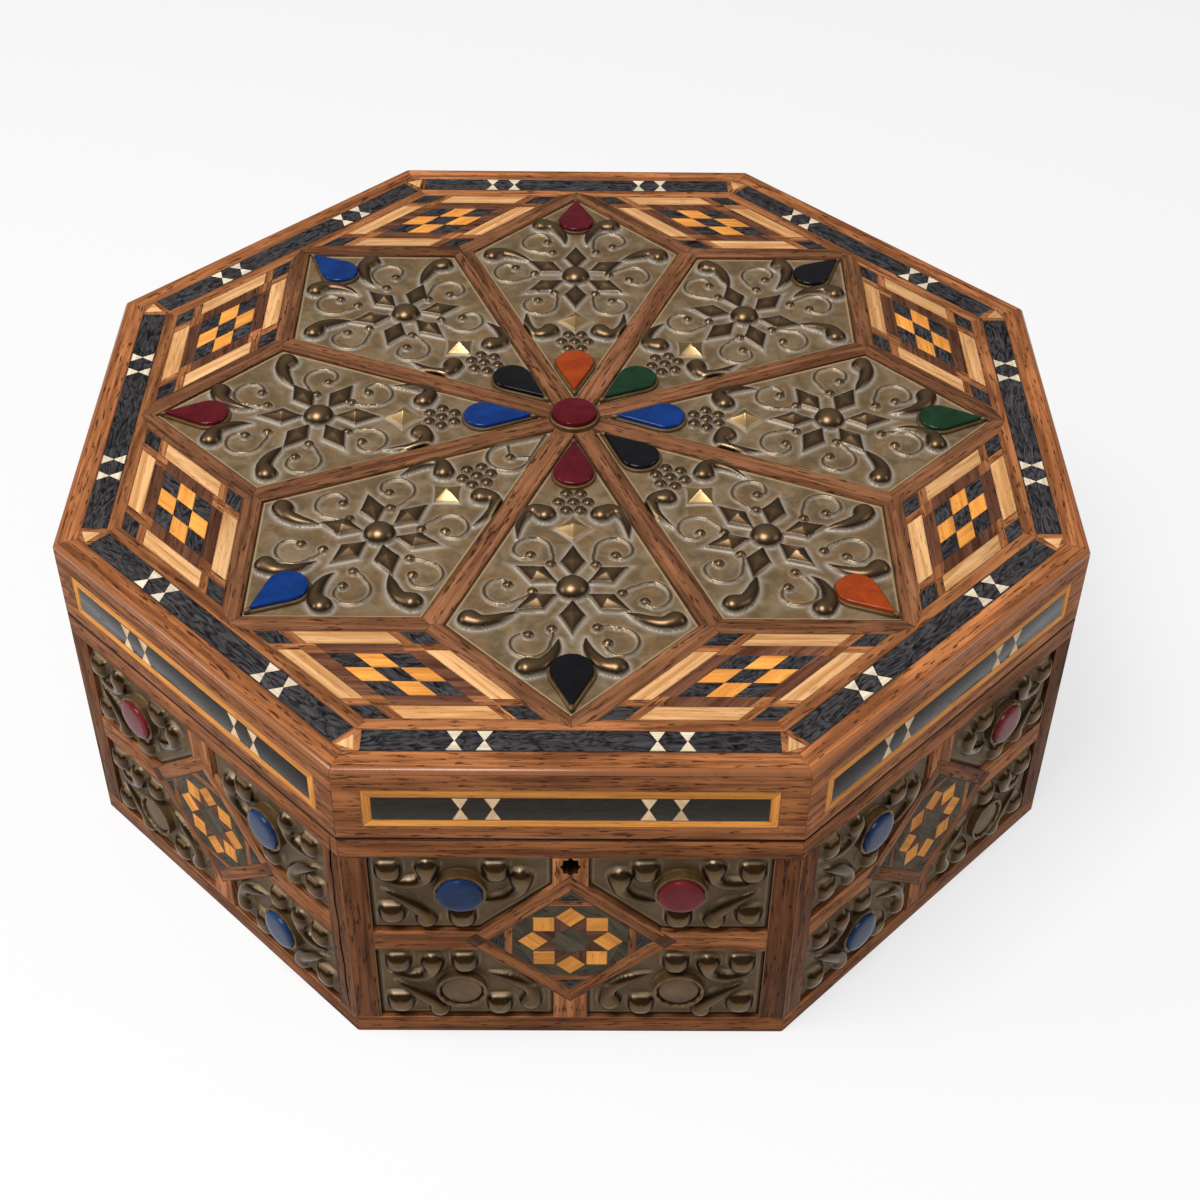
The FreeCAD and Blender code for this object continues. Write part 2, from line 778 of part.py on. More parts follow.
def petal(place, turn):
    middle = petal_start + petal_belly_share * (petal_end - petal_start)
    half = petal_half_width
    spots = [(petal_start, 0), (middle, -half), (petal_end, 0), (middle, half)]
    points = [turned_about(place, turn, *spot) for spot in spots]
    return lid_boss(points, turned_about(place, turn, middle, 0), petal_height)


def make_lid_relief():
    gap = panel_gap
    inner, far = kite_apex + gap / half_sin, kite_tip - gap * math.sqrt(2)
    shoulder = (far + (spoke_half + gap) / half_cos) / (1 + half_tan)
    sheet = [(0, -inner), (far - shoulder, -shoulder), (0, -far), (shoulder - far, -shoulder)]
    sheet = flat_prism(sheet, veneer_bottom, lid_plate_top)
    middle = (0, -dome_share * star_radius)
    bosses = [dome(middle)]
    for n in range(petal_count):
        bosses.append(petal(middle, math.pi / 2 + 2 * math.pi * n / petal_count))
    x, y = 0, -stud_share * star_radius
    stud = [(x + stud_half, y), (x, y + stud_half), (x - stud_half, y), (x, y - stud_half)]
    bosses.append(lid_boss(stud, (x, y), stud_height))
    for spot in lid_comma_shares:
        for way in (-1, 1):
            far_head, wide_head, far_tail, wide_tail = [star_radius * share for share in spot]
            head, tail = (way * wide_head, -far_head), (way * wide_tail, -far_tail)
            bosses.append(lid_boss(comma_points(head, tail, lid_comma_radius), head, lid_comma_height))
    return {"lid_reliefs": around([sheet.multiFuse(bosses).removeSplitter()])}


# Drop-shaped stones and their seats: tip at the given place, body toward the given way along the panel axis
def drop(tip, way, length, grow, low, high):
    radius = drop_width / 2 + grow
    lean = math.asin(drop_width / 2 / (length - drop_width / 2))
    centre = tip + way * (length - drop_width / 2)
    point = centre - way * radius / math.sin(lean)
    span = math.pi + 2 * lean
    turns = [span * (step / (drop_facets - 1) - 1 / 2) for step in range(drop_facets)]
    ring = [(radius * math.sin(turn), -centre - way * radius * math.cos(turn)) for turn in turns]
    return flat_prism([(0, -point)] + ring, low, high)


def make_lid_stones():
    names = ["red", "blue", "green", "orange", "black"]
    nodes = {"lid_stones_" + name: [] for name in names}
    seat_top = lid_plate_top + seat_height
    inner_centre = kite_apex + (drop_width / 2 + seat_margin + seat_spoke_gap) / half_sin
    inner_tip = inner_centre - inner_drop_length + drop_width / 2
    outer_tip = outer_drop_share * star_radius
    kinds = [
        (outer_drops, outer_tip, -1, outer_drop_length),
        (inner_drops, inner_tip, 1, inner_drop_length),
    ]
    seats = []
    for colours, tip, way, length in kinds:
        seat = drop(tip, way, length, seat_margin, lid_plate_top, seat_top)
        stone = drop(tip, way, length, 0, seat_top, seat_top + drop_height)
        for side, colour in enumerate(colours):
            seats.append(spun(seat, side))
            if colour:
                nodes["lid_stones_" + colour].append(spun(stone, side))
    centre_top = lid_top + centre_seat_height
    seats.append(flat_prism(ring_points(centre_facets, centre_seat_radius, 0), lid_top, centre_top))
    rim = ring_points(centre_facets, centre_stone_radius, 0)
    nodes["lid_stones_red"].append(flat_prism(rim, centre_top, centre_top + centre_stone_height))
    nodes["lid_stone_seats"] = seats
    return nodes


# Metalwork of the hinges and the lock
def make_metalwork():
    pin = hinge_rod(pin_radius, -hinge_length / 2, hinge_length / 2)
    return {
        "hinge_leaves_body": at_hinges([hinge_leaf(False)]),
        "hinge_leaves_lid": at_hinges([hinge_leaf(True)]),
        "hinge_pins": at_hinges([pin]),
        "lock_case": [make_lock_case()],
        "lock_cover": [make_lock_cover()],
        "lock_bolt": [make_lock_bolt()],
        "lock_spring": [make_lock_spring()],
        "lid_catch": [make_lid_catch()],
        "body_nails": at_hinges(hinge_nails(False, 0)) + lock_nails(0),
        "lid_nails": at_hinges(hinge_nails(True, 0)) + catch_nails(0),
    }


# One file for each named piece
makers = [make_walls, make_facing, make_diamonds, make_wall_reliefs, make_lid_frame, make_side_inlay,
          make_rhombi, make_star, make_bands, make_lid_relief, make_lid_stones, make_metalwork]
for maker in makers:
    for name, solids in maker().items():
        shape = solids[0] if len(solids) == 1 else Part.makeCompound(solids)
        shape.exportStep("parts/" + name + ".step")
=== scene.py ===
import math
import random

import bmesh
import bpy
import numpy as np
from mathutils import Matrix, Vector


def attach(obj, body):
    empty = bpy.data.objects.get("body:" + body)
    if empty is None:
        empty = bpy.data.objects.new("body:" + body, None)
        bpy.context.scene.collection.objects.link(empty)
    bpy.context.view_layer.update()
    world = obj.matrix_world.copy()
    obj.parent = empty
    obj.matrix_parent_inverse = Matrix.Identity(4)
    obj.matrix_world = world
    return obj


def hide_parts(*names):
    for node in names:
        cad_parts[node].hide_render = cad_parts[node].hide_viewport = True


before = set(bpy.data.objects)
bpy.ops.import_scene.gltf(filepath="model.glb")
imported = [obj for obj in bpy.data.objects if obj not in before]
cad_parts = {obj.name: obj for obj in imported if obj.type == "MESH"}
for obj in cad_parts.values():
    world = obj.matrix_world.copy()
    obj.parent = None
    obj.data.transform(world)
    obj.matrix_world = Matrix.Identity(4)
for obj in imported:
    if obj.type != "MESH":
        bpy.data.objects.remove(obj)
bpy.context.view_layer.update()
mm = 0.001
sideNames = ["front", "front_right", "right", "back_right", "back", "back_left", "left", "front_left"]
dice = random.Random(11)
print("frame loaded with", len(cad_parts), "solids")


# a shader socket that can be used in sums
class Wire:
    def __init__(self, tree, socket=None):
        self.tree, self.socket = tree, socket

    def node(self, kind, settings=None, sockets=None, out=0):
        made = self.tree.nodes.new("ShaderNode" + kind)
        for key, value in (settings or {}).items():
            setattr(made, key, value)
        for key, value in (sockets or {}).items():
            if isinstance(value, Wire):
                self.tree.links.new(value.socket, made.inputs[key])
            else:
                made.inputs[key].default_value = value
        return Wire(self.tree, made.outputs[out])

    def other(self, out):  # another output of the same node
        return Wire(self.tree, self.socket.node.outputs[out])

    def maths(self, kind, first, second=0.0):
        return self.node("Math", {"operation": kind}, {0: first, 1: second})

    def __add__(self, more):
        return self.maths("ADD", self, more)

    def __sub__(self, less):
        return self.maths("SUBTRACT", self, less)

    def __rsub__(self, whole):
        return self.maths("SUBTRACT", whole, self)

    def __mul__(self, times):
        return self.maths("MULTIPLY", self, times)

    def __truediv__(self, parts):
        return self.maths("DIVIDE", self, parts)

    __radd__ = __add__
    __rmul__ = __mul__

    def least(self, limit):
        return self.maths("MINIMUM", self, limit)

    def most(self, limit):
        return self.maths("MAXIMUM", self, limit)

    def step(self, low, high):  # 0 below low, 1 above high
        return self.node("MapRange", {"interpolation_type": "SMOOTHSTEP"}, {0: self, 1: low, 2: high})

    def mix(self, first, second):  # this socket is the share of the second colour
        return self.node("Mix", {"data_type": "RGBA"}, {0: self, 6: first, 7: second}, 2)

    def place(self, x, y, z):
        return self.node("CombineXYZ", None, {0: x, 1: y, 2: z})

    def noise(self, size, detail=2.0, rough=0.5, bend=0.0):  # this socket is the place, size is one blotch
        values = {"Vector": self, "Scale": 1 / size, "Detail": detail, "Roughness": rough, "Distortion": bend}
        return self.node("TexNoise", None, values)

    def attribute(self, name):
        return self.node("Attribute", {"attribute_name": name}, None, "Fac")

    def inMillimetres(self):
        spot = self.node("TexCoord", None, None, "Object")
        return self.node("VectorMath", {"operation": "SCALE"}, {0: spot, 3: 1 / mm})


def tint(red, green, blue):
    return (red, green, blue, 1.0)


def newFinish(name):
    material = bpy.data.materials.new(name)
    material.use_nodes = True
    material.node_tree.nodes.clear()
    return material, Wire(material.node_tree)


# the closing shader: height is in millimetres
def shade(start, colour, roughness, height=None, metallic=0.0, fixed=None):
    values = {"Base Color": colour, "Roughness": roughness, "Metallic": metallic}
    values.update(fixed or {})
    if height is not None:
        values["Normal"] = start.node("Bump", None, {"Strength": 1.0, "Distance": mm, "Height": height})
    closeTree(start, start.node("BsdfPrincipled", None, values), "Material")


def closeTree(start, shader, kind):
    made = start.tree.nodes.new("ShaderNodeOutput" + kind)
    start.tree.links.new(shader.socket, made.inputs["Surface"])


# wood that follows each strip: u runs with the grain, v across it, both in millimetres
def woodFinish(name, look):
    material, start = newFinish(name)
    strip = start.node("SeparateXYZ", None, {0: start.node("UVMap", {"uv_map": "strip"})})
    wide, tone = start.attribute("wide"), start.attribute("tone")
    u, across = strip * start.attribute("long"), strip.other(1)
    v, lot = across * wide, tone * 613.0
    figure = start.place(u / look["stretch"] + lot, v, lot).noise(look["figure"], 4.0, 0.55, look["bend"])
    lines = start.place(u / 40.0 + lot, v, lot).noise(look["line"], 2.0, 0.6)
    pores = start.place(u / 7.0 + lot, v + lot, lot).noise(look["pore"], 2.0, 0.5)
    cracks = start.place(u / 14.0 - lot, v, lot).noise(1.7, 2.0, 0.6)
    blotch = start.place(u, v, lot).noise(26.0, 2.0, 0.5)
    edge = across.least(1 - across) * wide
    chips = start.place(u, v, lot).noise(look["chip"], 4.0, 0.65)
    rubbed = start.place(u / 3.0, v, lot - 9.0).noise(14.0, 2.0, 0.5)

    body = figure.step(0.32, 0.68).mix(look["dark"], look["light"])
    body = (lines.step(0.45, 0.75) * look["lineShare"]).mix(body, look["deep"])
    fleck = pores.step(look["fleckFrom"], look["fleckFrom"] + 0.07)
    crack = cracks.step(0.69, 0.73) * look["crackShare"]
    body = (fleck * look["fleckShare"]).most(crack).mix(body, look["deep"])
    value = 1.0 + (tone - 0.5) * look["toneSpread"] + (blotch - 0.5) * look["blotch"]
    body = start.node("HueSaturation", None, {"Value": value, "Color": body})
    wear = (rubbed.step(0.42, 0.62) * 0.7 + chips.step(0.45, 0.8) * 0.6) * look["wear"]
    worn = (wear - edge).step(0.0, 0.5)
    arris = (1 - wide.step(0.6, 0.9)) * look["arris"]  # softened edges are rubbed pale
    body = (worn * look["wearShare"]).most(arris).mix(body, look["worn"])
    seam = (1 - edge.step(look["seam"] * 0.4, look["seam"])) * wide.step(1.2, 2.0)
    # painted shade: faces in the lid joint and the keyhole take the deep colour
    body = (seam * (1 - worn) * look["seamShare"]).most(start.attribute("recessShade")).mix(body, look["deep"])

    roughness = look["rough"] + lines * 0.12 + worn * 0.2 + fleck * 0.15
    height = 0 - lines * look["bump"] - fleck * (look["bump"] * 2) - crack * 0.12 - worn * look["chipDepth"]
    shade(start, body, roughness, height, fixed={
        "Coat Weight": arris * look["coat"], "Coat Roughness": 0.2, "Specular IOR Level": look["gloss"]})
    return material


plainWood = {
    "stretch": 16.0, "figure": 3.2, "bend": 0.6, "line": 0.55, "pore": 0.8, "chip": 1.6, "lineShare": 0.45,
    "fleckFrom": 0.62, "fleckShare": 0.8, "crackShare": 0.0, "toneSpread": 0.34, "blotch": 0.5,
    "wear": 0.0, "wearShare": 0.7, "seam": 0.22, "seamShare": 0.85, "rough": 0.48, "bump": 0.03,
    "chipDepth": 0.0, "coat": 0.0, "gloss": 0.06, "arris": 0.0,
}
thuyaLook = dict(
    plainWood, dark=tint(0.150, 0.051, 0.018), light=tint(0.410, 0.158, 0.058),
    deep=tint(0.022, 0.008, 0.004), worn=tint(0.56, 0.260, 0.100), pore=1.0, fleckFrom=0.59, blotch=0.8)
barLook = dict(thuyaLook, dark=tint(0.180, 0.061, 0.020), light=tint(0.490, 0.188, 0.066), crackShare=0.6)
spokeLook = dict(thuyaLook, dark=tint(0.098, 0.039, 0.017), light=tint(0.270, 0.112, 0.050))
lidLook = dict(
    thuyaLook, dark=tint(0.180, 0.060, 0.021), light=tint(0.470, 0.172, 0.060), crackShare=0.7,
    worn=tint(0.275, 0.095, 0.031), arris=0.92, coat=0.8)
railLook = dict(
    lidLook, dark=tint(0.140, 0.046, 0.015), light=tint(0.370, 0.132, 0.044), worn=tint(0.50, 0.220, 0.085),
    arris=0.35)
stileLook = dict(
    railLook, dark=tint(0.066, 0.022, 0.008), light=tint(0.185, 0.067, 0.023), wear=0.25, chipDepth=0.05)
walnutLook = dict(
    plainWood, dark=tint(0.066, 0.024, 0.012), light=tint(0.165, 0.066, 0.036),
    deep=tint(0.012, 0.006, 0.004), worn=tint(0.25, 0.11, 0.05))
oliveLook = dict(
    plainWood, dark=tint(0.052, 0.041, 0.026), light=tint(0.092, 0.074, 0.047),
    deep=tint(0.016, 0.012, 0.008), worn=tint(0.25, 0.16, 0.08), toneSpread=0.3, lineShare=0.3)
lemonLook = dict(
    plainWood, dark=tint(0.46, 0.215, 0.070), light=tint(0.71, 0.410, 0.190), deep=tint(0.20, 0.075, 0.02),
    worn=tint(0.72, 0.45, 0.2), lineShare=0.36, fleckShare=0.4, blotch=0.4, toneSpread=0.24)
goldenLook = dict(lemonLook, dark=tint(0.62, 0.23, 0.045), light=tint(0.85, 0.36, 0.070))
ebonyLook = dict(
    plainWood, dark=tint(0.005, 0.004, 0.005), light=tint(0.064, 0.059, 0.061), deep=tint(0.003, 0.003, 0.003),
    worn=tint(0.08, 0.06, 0.05), stretch=3.4, figure=4.2, bend=4.0, lineShare=0.5, fleckShare=0.4)
polishedLook = dict(
    ebonyLook, dark=tint(0.015, 0.011, 0.007), light=tint(0.025, 0.019, 0.012), gloss=0.12, rough=0.12)
splitLook = dict(ebonyLook, dark=tint(0.003, 0.002, 0.002), light=tint(0.008, 0.005, 0.004), gloss=0.0)
boneLook = dict(
    plainWood, dark=tint(0.54, 0.44, 0.31), light=tint(0.76, 0.65, 0.49), deep=tint(0.25, 0.17, 0.10),
    worn=tint(0.8, 0.7, 0.58), lineShare=0.15, fleckShare=0.25, toneSpread=0.15, blotch=0.2, rough=0.35)
boneSideLook = dict(boneLook, dark=tint(0.66, 0.44, 0.25), light=tint(0.92, 0.66, 0.40))
carcassLook = dict(thuyaLook, seamShare=0.3, crackShare=0.4)
thuya, rail = woodFinish("thuya", thuyaLook), woodFinish("thuya_worn", railLook)
bar, spoke = woodFinish("thuya_bars", barLook), woodFinish("thuya_spokes", spokeLook)
golden = woodFinish("golden_wood", goldenLook)
walnut, olive = woodFinish("walnut", walnutLook), woodFinish("olive_wood", oliveLook)
lemonwood, ebony = woodFinish("lemonwood", lemonLook), woodFinish("ebony", ebonyLook)
polished, split = woodFinish("ebony_polished", polishedLook), woodFinish("split_wood", splitLook)
stile, lidRail = woodFinish("thuya_stiles", stileLook), woodFinish("thuya_lid", lidLook)
bone, boneSide = woodFinish("bone", boneLook), woodFinish("bone_side", boneSideLook)
carcass = woodFinish("thuya_plain", carcassLook)


# bronze sheet: boss marks what is raised, crest its top (a painted highlight, the flanks painted shade), halo
# the pale line round it, the polish mark the polished spots plus painted highlights on the edge fold and
# highest tops, and the last mark paints shade along the sheet's dark edge
def bronzeFinish(name, look):
    material, start = newFinish(name)
    spot = start.inMillimetres()
    boss, halo, polishAndHighlight, crest, gapShade = (start.attribute(key) for key in ("boss", "halo", "polishAndHighlight", "crest", "gapShade"))
    cloud = spot.noise(9.0, 4.0, 0.6, 0.4)
    rust = spot.noise(5.0, 4.0, 0.65)
    grit = spot.noise(0.7, 3.0, 0.6)
    ground = cloud.step(0.36, 0.66).mix(look["ground"], look["groundPale"])
    ground = (rust.step(0.48, 0.66) * 0.85).mix(ground, look["rust"])
    # painted highlight: motif tops take the pale raised colour, their flanks the dark one as painted shade
    raised = (crest * 0.85 + rust.step(0.35, 0.7) * 0.15).mix(look["raised"], look["raisedPale"])
    body = boss.mix(ground, raised)
    body = (halo * look["haloShare"] * (0.65 + grit * 0.6)).mix(body, look["halo"])
    # pale polish with painted highlights, then painted shade near-black along the sheet's edge and in collar
    # grooves
    body = gapShade.mix(polishAndHighlight.mix(body, look["polishAndHighlight"]), look["gapShade"])
    matt = (grit * 0.18 + rust * 0.08) * (1 - boss * 0.7)
    roughness = look["rough"] + matt - boss * look["bossShine"] + polishAndHighlight * 0.1
    height = (grit * look["grit"] + rust * 0.05) * (1 - boss * 0.85)
    shade(start, body, roughness, height, look["metallic"] + boss * look["bossMetal"])
    return material


# sheet colours: the pale raised colour is a painted highlight and the dark one painted shade, the polish colour
# also paints highlights, the near-black one paints shade
bronzeLook = {
    "ground": tint(0.125, 0.080, 0.036), "groundPale": tint(0.225, 0.160, 0.088),
    "rust": tint(0.200, 0.104, 0.034), "raised": tint(0.036, 0.020, 0.009),
    "raisedPale": tint(0.165, 0.100, 0.048), "halo": tint(0.48, 0.43, 0.36), "haloShare": 0.74,
    "polishAndHighlight": tint(0.48, 0.32, 0.14), "gapShade": tint(0.012, 0.008, 0.005), "rough": 0.46, "bossShine": 0.2,
    "grit": 0.05, "metallic": 0.36, "bossMetal": 0.5,
}
darkLook = dict(
    bronzeLook, ground=tint(0.090, 0.047, 0.012), groundPale=tint(0.126, 0.073, 0.022),
    rust=tint(0.116, 0.058, 0.013), raised=tint(0.032, 0.016, 0.005), raisedPale=tint(0.110, 0.062, 0.024),
    halo=tint(0.32, 0.24, 0.145), haloShare=0.95, metallic=0.2, bossMetal=0.65, bossShine=0.26)
collarLook = dict(
    darkLook, ground=tint(0.086, 0.045, 0.013), groundPale=tint(0.140, 0.082, 0.030), rough=0.34, metallic=0.4)
bronze, bronzeDark = bronzeFinish("bronze", bronzeLook), bronzeFinish("bronze_dark", darkLook)
bronzeCollar = bronzeFinish("bronze_collar", collarLook)


def metalFinish(name, look):
    material, start = newFinish(name)
    spot = start.inMillimetres()
    stain, scratch = spot.noise(6.0, 4.0, 0.6), spot.noise(0.5, 3.0, 0.7)
    body = stain.step(0.35, 0.7).mix(look["clean"], look["stain"])
    shade(start, body, look["rough"] + stain * 0.25, scratch * 0.03, 0.9)
    return material


brass = metalFinish("brass", {
    "clean": tint(0.50, 0.33, 0.12), "stain": tint(0.20, 0.12, 0.05), "rough": 0.28})
steel = metalFinish("steel", {
    "clean": tint(0.32, 0.31, 0.30), "stain": tint(0.12, 0.10, 0.09), "rough": 0.32})


# polished stones, faintly clouded
def stoneFinish(name, look):
    material, start = newFinish(name)
    spot = start.inMillimetres()
    cloud = spot.noise(8.0, 3.0, 0.55, 0.6)
    body = cloud.step(0.3, 0.72).mix(look["deep"], look["main"])
    shade(start, body, look["rough"] + cloud * 0.08, fixed={"Specular IOR Level": look["gloss"]})
    return material


stoneLooks = {
    "red": {"deep": tint(0.062, 0.002, 0.005), "main": tint(0.098, 0.004, 0.009)},
    "blue": {"deep": tint(0.001, 0.019, 0.105), "main": tint(0.002, 0.031, 0.165)},
    "green": {"deep": tint(0.004, 0.021, 0.008), "main": tint(0.007, 0.034, 0.013)},
    "orange": {"deep": tint(0.22, 0.028, 0.003), "main": tint(0.31, 0.044, 0.005)},
    "black": {"deep": tint(0.002, 0.002, 0.003), "main": tint(0.004, 0.004, 0.005)},
}
sideLooks = {
    "blue": {"deep": tint(0.008, 0.021, 0.066), "main": tint(0.013, 0.035, 0.108)},
    "red": {"deep": tint(0.110, 0.008, 0.012), "main": tint(0.165, 0.015, 0.020)},
}
stones = {name: stoneFinish("stone_" + name, dict(look, gloss=0.22, rough=0.06))
          for name, look in stoneLooks.items()}
sideStones = {name: stoneFinish("stone_" + name + "_side", dict(look, gloss=0.12, rough=0.12))
              for name, look in sideLooks.items()}
print("finishes ready:", len(bpy.data.materials))


# pieces
def addPiece(name, bm, material, body, slot, replaced=(), smoothAngle=35.0):
    mesh = bpy.data.meshes.new(name)
    bm.to_mesh(mesh)
    bm.free()
    return addMesh(name, mesh, material, body, replaced, smoothAngle)


def addMesh(name, mesh, material, body, replaced=(), smoothAngle=35.0):
    mesh.polygons.foreach_set("use_smooth", [True] * len(mesh.polygons))
    mesh.set_sharp_from_angle(angle=math.radians(smoothAngle))
    mesh.materials.clear()
    mesh.materials.append(material)
    piece = bpy.data.objects.new(name, mesh)
    bpy.context.scene.collection.objects.link(piece)
    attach(piece, body)
    if replaced:
        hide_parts(*replaced)
    return piece


def turned(side):
    return Matrix.Rotation(side * math.tau / 8, 4, "Z")


# x runs along a wall, y up it and z out of it
def onWall(side, apothem):
    stand = Matrix(((1, 0, 0, 0), (0, 0, -1, -apothem * mm), (0, 1, 0, 0), (0, 0, 0, 1)))
    return turned(side) @ stand


# triangles of one solid follow each other until every edge has met its twin
def solidRuns(mesh):
    unmet, first, runs = set(), 0, []
    for face in mesh.polygons:
        corners = [tuple(mesh.vertices[v].co) for v in face.vertices]
        for edge in zip(corners, corners[1:] + corners[:1]):
            if edge[::-1] in unmet:
                unmet.remove(edge[::-1])
            else:
                unmet.add(edge)
        if not unmet:
            runs.append((first, face.index + 1))
            first = face.index + 1
    return runs


def cadCopy(name):
    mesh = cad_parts[name].data
    bm = bmesh.new()
    bm.from_mesh(mesh)
    faces = list(bm.faces)
    lots = [list({v for face in faces[a:b] for v in face.verts}) for a, b in solidRuns(mesh)]
    for lot in lots:
        bmesh.ops.remove_doubles(bm, verts=lot, dist=0.002 * mm)
    bmesh.ops.dissolve_limit(bm, angle_limit=math.radians(0.5), verts=bm.verts[:], edges=bm.edges[:])
    return bm


def softenEdges(bm, width, segments=2, sharper=25.0):
    edges = [e for e in bm.edges if len(e.link_faces) == 2 and e.calc_face_angle() > math.radians(sharper)]
    bmesh.ops.bevel(bm, geom=edges, offset=width * mm, offset_type="OFFSET", segments=segments, profile=0.5,
                    affect="EDGES", clamp_overlap=True, material=-1)


# strip coordinates: 0 to 1 along and across each face, with its length, width and the island's own tone
def layGrain(bm):
    wide, long = bm.faces.layers.float.new("wide"), bm.faces.layers.float.new("long")
    tone, strip = bm.faces.layers.float.new("tone"), bm.loops.layers.uv.new("strip")
    seen = set()
    for seed in bm.faces:
        if seed in seen:
            continue
        island, reach = [seed], [seed]
        seen.add(seed)
        while reach:
            for edge in reach.pop().edges:
                for face in edge.link_faces:
                    if face not in seen:
                        seen.add(face)
                        island.append(face)
                        reach.append(face)
        shadeOfIsland = dice.random()
        longest = max((e for face in island for e in face.edges), key=lambda e: round(e.calc_length(), 6))
        run = (longest.verts[1].co - longest.verts[0].co).normalized()
        for face in island:
            along = run - face.normal * run.dot(face.normal)
            along = along.normalized() if along.length > 0.3 else face.normal.orthogonal().normalized()
            cross = face.normal.cross(along)
            spots = [(loop.vert.co.dot(along), loop.vert.co.dot(cross)) for loop in face.loops]
            low = [min(spot[i] for spot in spots) for i in (0, 1)]
            size = [max(max(spot[i] for spot in spots) - low[i], 1e-7) for i in (0, 1)]
            face[long], face[wide], face[tone] = size[0] / mm, size[1] / mm, shadeOfIsland
            for loop, spot in zip(face.loops, spots):
                loop[strip].uv = ((spot[0] - low[0]) / size[0], (spot[1] - low[1]) / size[1])


# painted shade: where the joint under the lid and the keyhole are darkened, heights and reaches in millimetres
recessShade = {"joint": 113.3, "jointReach": 0.62, "keyhole": 98.4, "keyReach": 6.5, "share": 0.95}


def layRecessShade(bm):  # painted shade: near-black faces in the joint under the lid and inside the keyhole
    layer = bm.faces.layers.float.new("recessShade")
    for face in bm.faces:
        x, y, z = face.calc_center_median() / mm
        inJoint = abs(z - recessShade["joint"]) < recessShade["jointReach"] and abs(face.normal.z) < 0.95
        inHole = y < 0 and math.hypot(x, z - recessShade["keyhole"]) < recessShade["keyReach"] and abs(face.normal.y) < 0.5
        face[layer] = recessShade["share"] * (inJoint or inHole)


def dressWood(name, material, slot, width, body):
    bm = cadCopy(name)
    if width:
        softenEdges(bm, width)
    layGrain(bm)
    layRecessShade(bm)
    return addPiece(name + "_wood", bm, material, body, slot, [name])


woodwork = {  # node: finish, slot, edge width in millimetres, body
    "facing_rails": (rail, "thuya_wood", 0.6, "body"),
    "facing_stiles": (stile, "thuya_wood", 0.3, "body"),
    "facing_cross_bars": (bar, "thuya_wood", 0.2, "body"),
    "diamond_strips": (thuya, "thuya_wood", 0.2, "body"),
    "diamond_tips": (walnut, "walnut", 0.15, "body"),
    "medallions": (olive, "walnut", 0.12, "body"),
    "bottom_board": (carcass, "thuya_wood", 0.0, "body"),
    "lid_board": (carcass, "thuya_wood", 0.0, "lid"),
    "lid_spokes": (spoke, "thuya_wood", 0.2, "lid"),
    "lid_star_ribs": (spoke, "thuya_wood", 0.2, "lid"),
    "lid_border_strips": (thuya, "thuya_wood", 0.12, "lid"),
    "lid_corner_blocks": (thuya, "thuya_wood", 0.12, "lid"),
    "lid_corner_triangles": (lemonwood, "lemonwood", 0.12, "lid"),
    "lid_bands": (ebony, "ebony", 0.12, "lid"),
    "lid_inlay_ebony": (ebony, "ebony", 0.12, "lid"),
    "lid_inlay_lemonwood": (lemonwood, "lemonwood", 0.12, "lid"),
    "lid_rhombus_rings": (walnut, "walnut", 0.12, "lid"),
    "lid_side_borders": (golden, "lemonwood", 0.12, "lid"),
    "lid_side_bands": (polished, "ebony", 0.12, "lid"),
}
for side in sideNames:
    woodwork["wall_" + side] = (carcass, "thuya_wood", 0.0, "body")
    woodwork["lid_rail_" + side] = (lidRail, "thuya_wood", 0.35, "lid")
dressed = {name: dressWood(name, *settings) for name, settings in woodwork.items()}

checks = {"middle": 165.4, "halfOut": 24.05, "halfAlong": 58.05, "share": 0.6}
inlaid = dressed["lid_inlay_lemonwood"].data
inlaid.materials.append(golden)
for face in inlaid.polygons:  # the checks in the middle of each rhombus are golden
    x, y = face.center.x / mm, face.center.y / mm
    turn = math.atan2(y, x) % (math.tau / 8) - math.tau / 16
    out, along = math.hypot(x, y) * math.cos(turn), math.hypot(x, y) * math.sin(turn)
    inset = abs(out - checks["middle"]) / checks["halfOut"] + abs(along) / checks["halfAlong"]
    face.material_index = int(inset < checks["share"])
print("woodwork dressed:", len(woodwork))


# thin inlays that stand a hair proud of the wood they are let into
inlay = {"proud": 0.06, "depth": 0.7, "edge": 0.09}


def layTile(bm, points, placing):
    verts = [bm.verts.new(placing @ Vector((x * mm, y * mm, inlay["proud"] * mm))) for x, y in points]
    face = bm.faces.new(verts)
    face.normal_update()
    out = (placing.to_3x3() @ Vector((0, 0, 1))).normalized()
    if face.normal.dot(out) < 0:
        face.normal_flip()
    lower = bmesh.ops.extrude_face_region(bm, geom=[face], use_keep_orig=True)
    moved = [v for v in lower["geom"] if isinstance(v, bmesh.types.BMVert)]
    bmesh.ops.translate(bm, verts=moved, vec=out * -inlay["depth"] * mm)


def addTiles(name, rows, material, slot, body):
    bm = bmesh.new()
    for points, placing in rows:
        layTile(bm, points, placing)
    bmesh.ops.recalc_face_normals(bm, faces=bm.faces[:])
    softenEdges(bm, inlay["edge"], 1)
    layGrain(bm)
    return addPiece(name, bm, material, body, slot)


def shiftedBack(points, gap):  # drawn in towards the middle, for a thin joint line
    middle = [sum(p[i] for p in points) / len(points) for i in (0, 1)]
    return [tuple(c + (m - c) * gap for c, m in zip(p, middle)) for p in points]


lidTop = {
    "height": 148.6, "bandMiddle": 185.5, "bandHalf": 4.7, "places": (-40.5, -30.0, 30.0, 40.5), "half": 2.9}
lidSide = {
    "face": 200.0, "middle": 129.225, "bandHalf": 5.45, "places": (-38.5, -27.2, 27.2, 38.5), "half": 2.9}
waist = 0.16  # half width of an hourglass at its waist


def hourglass(x, y, half, tall):
    top = [(x - half, y + tall), (x + half, y + tall), (x + waist, y), (x - waist, y)]
    return [top, [(px, 2 * y - py) for px, py in top]]


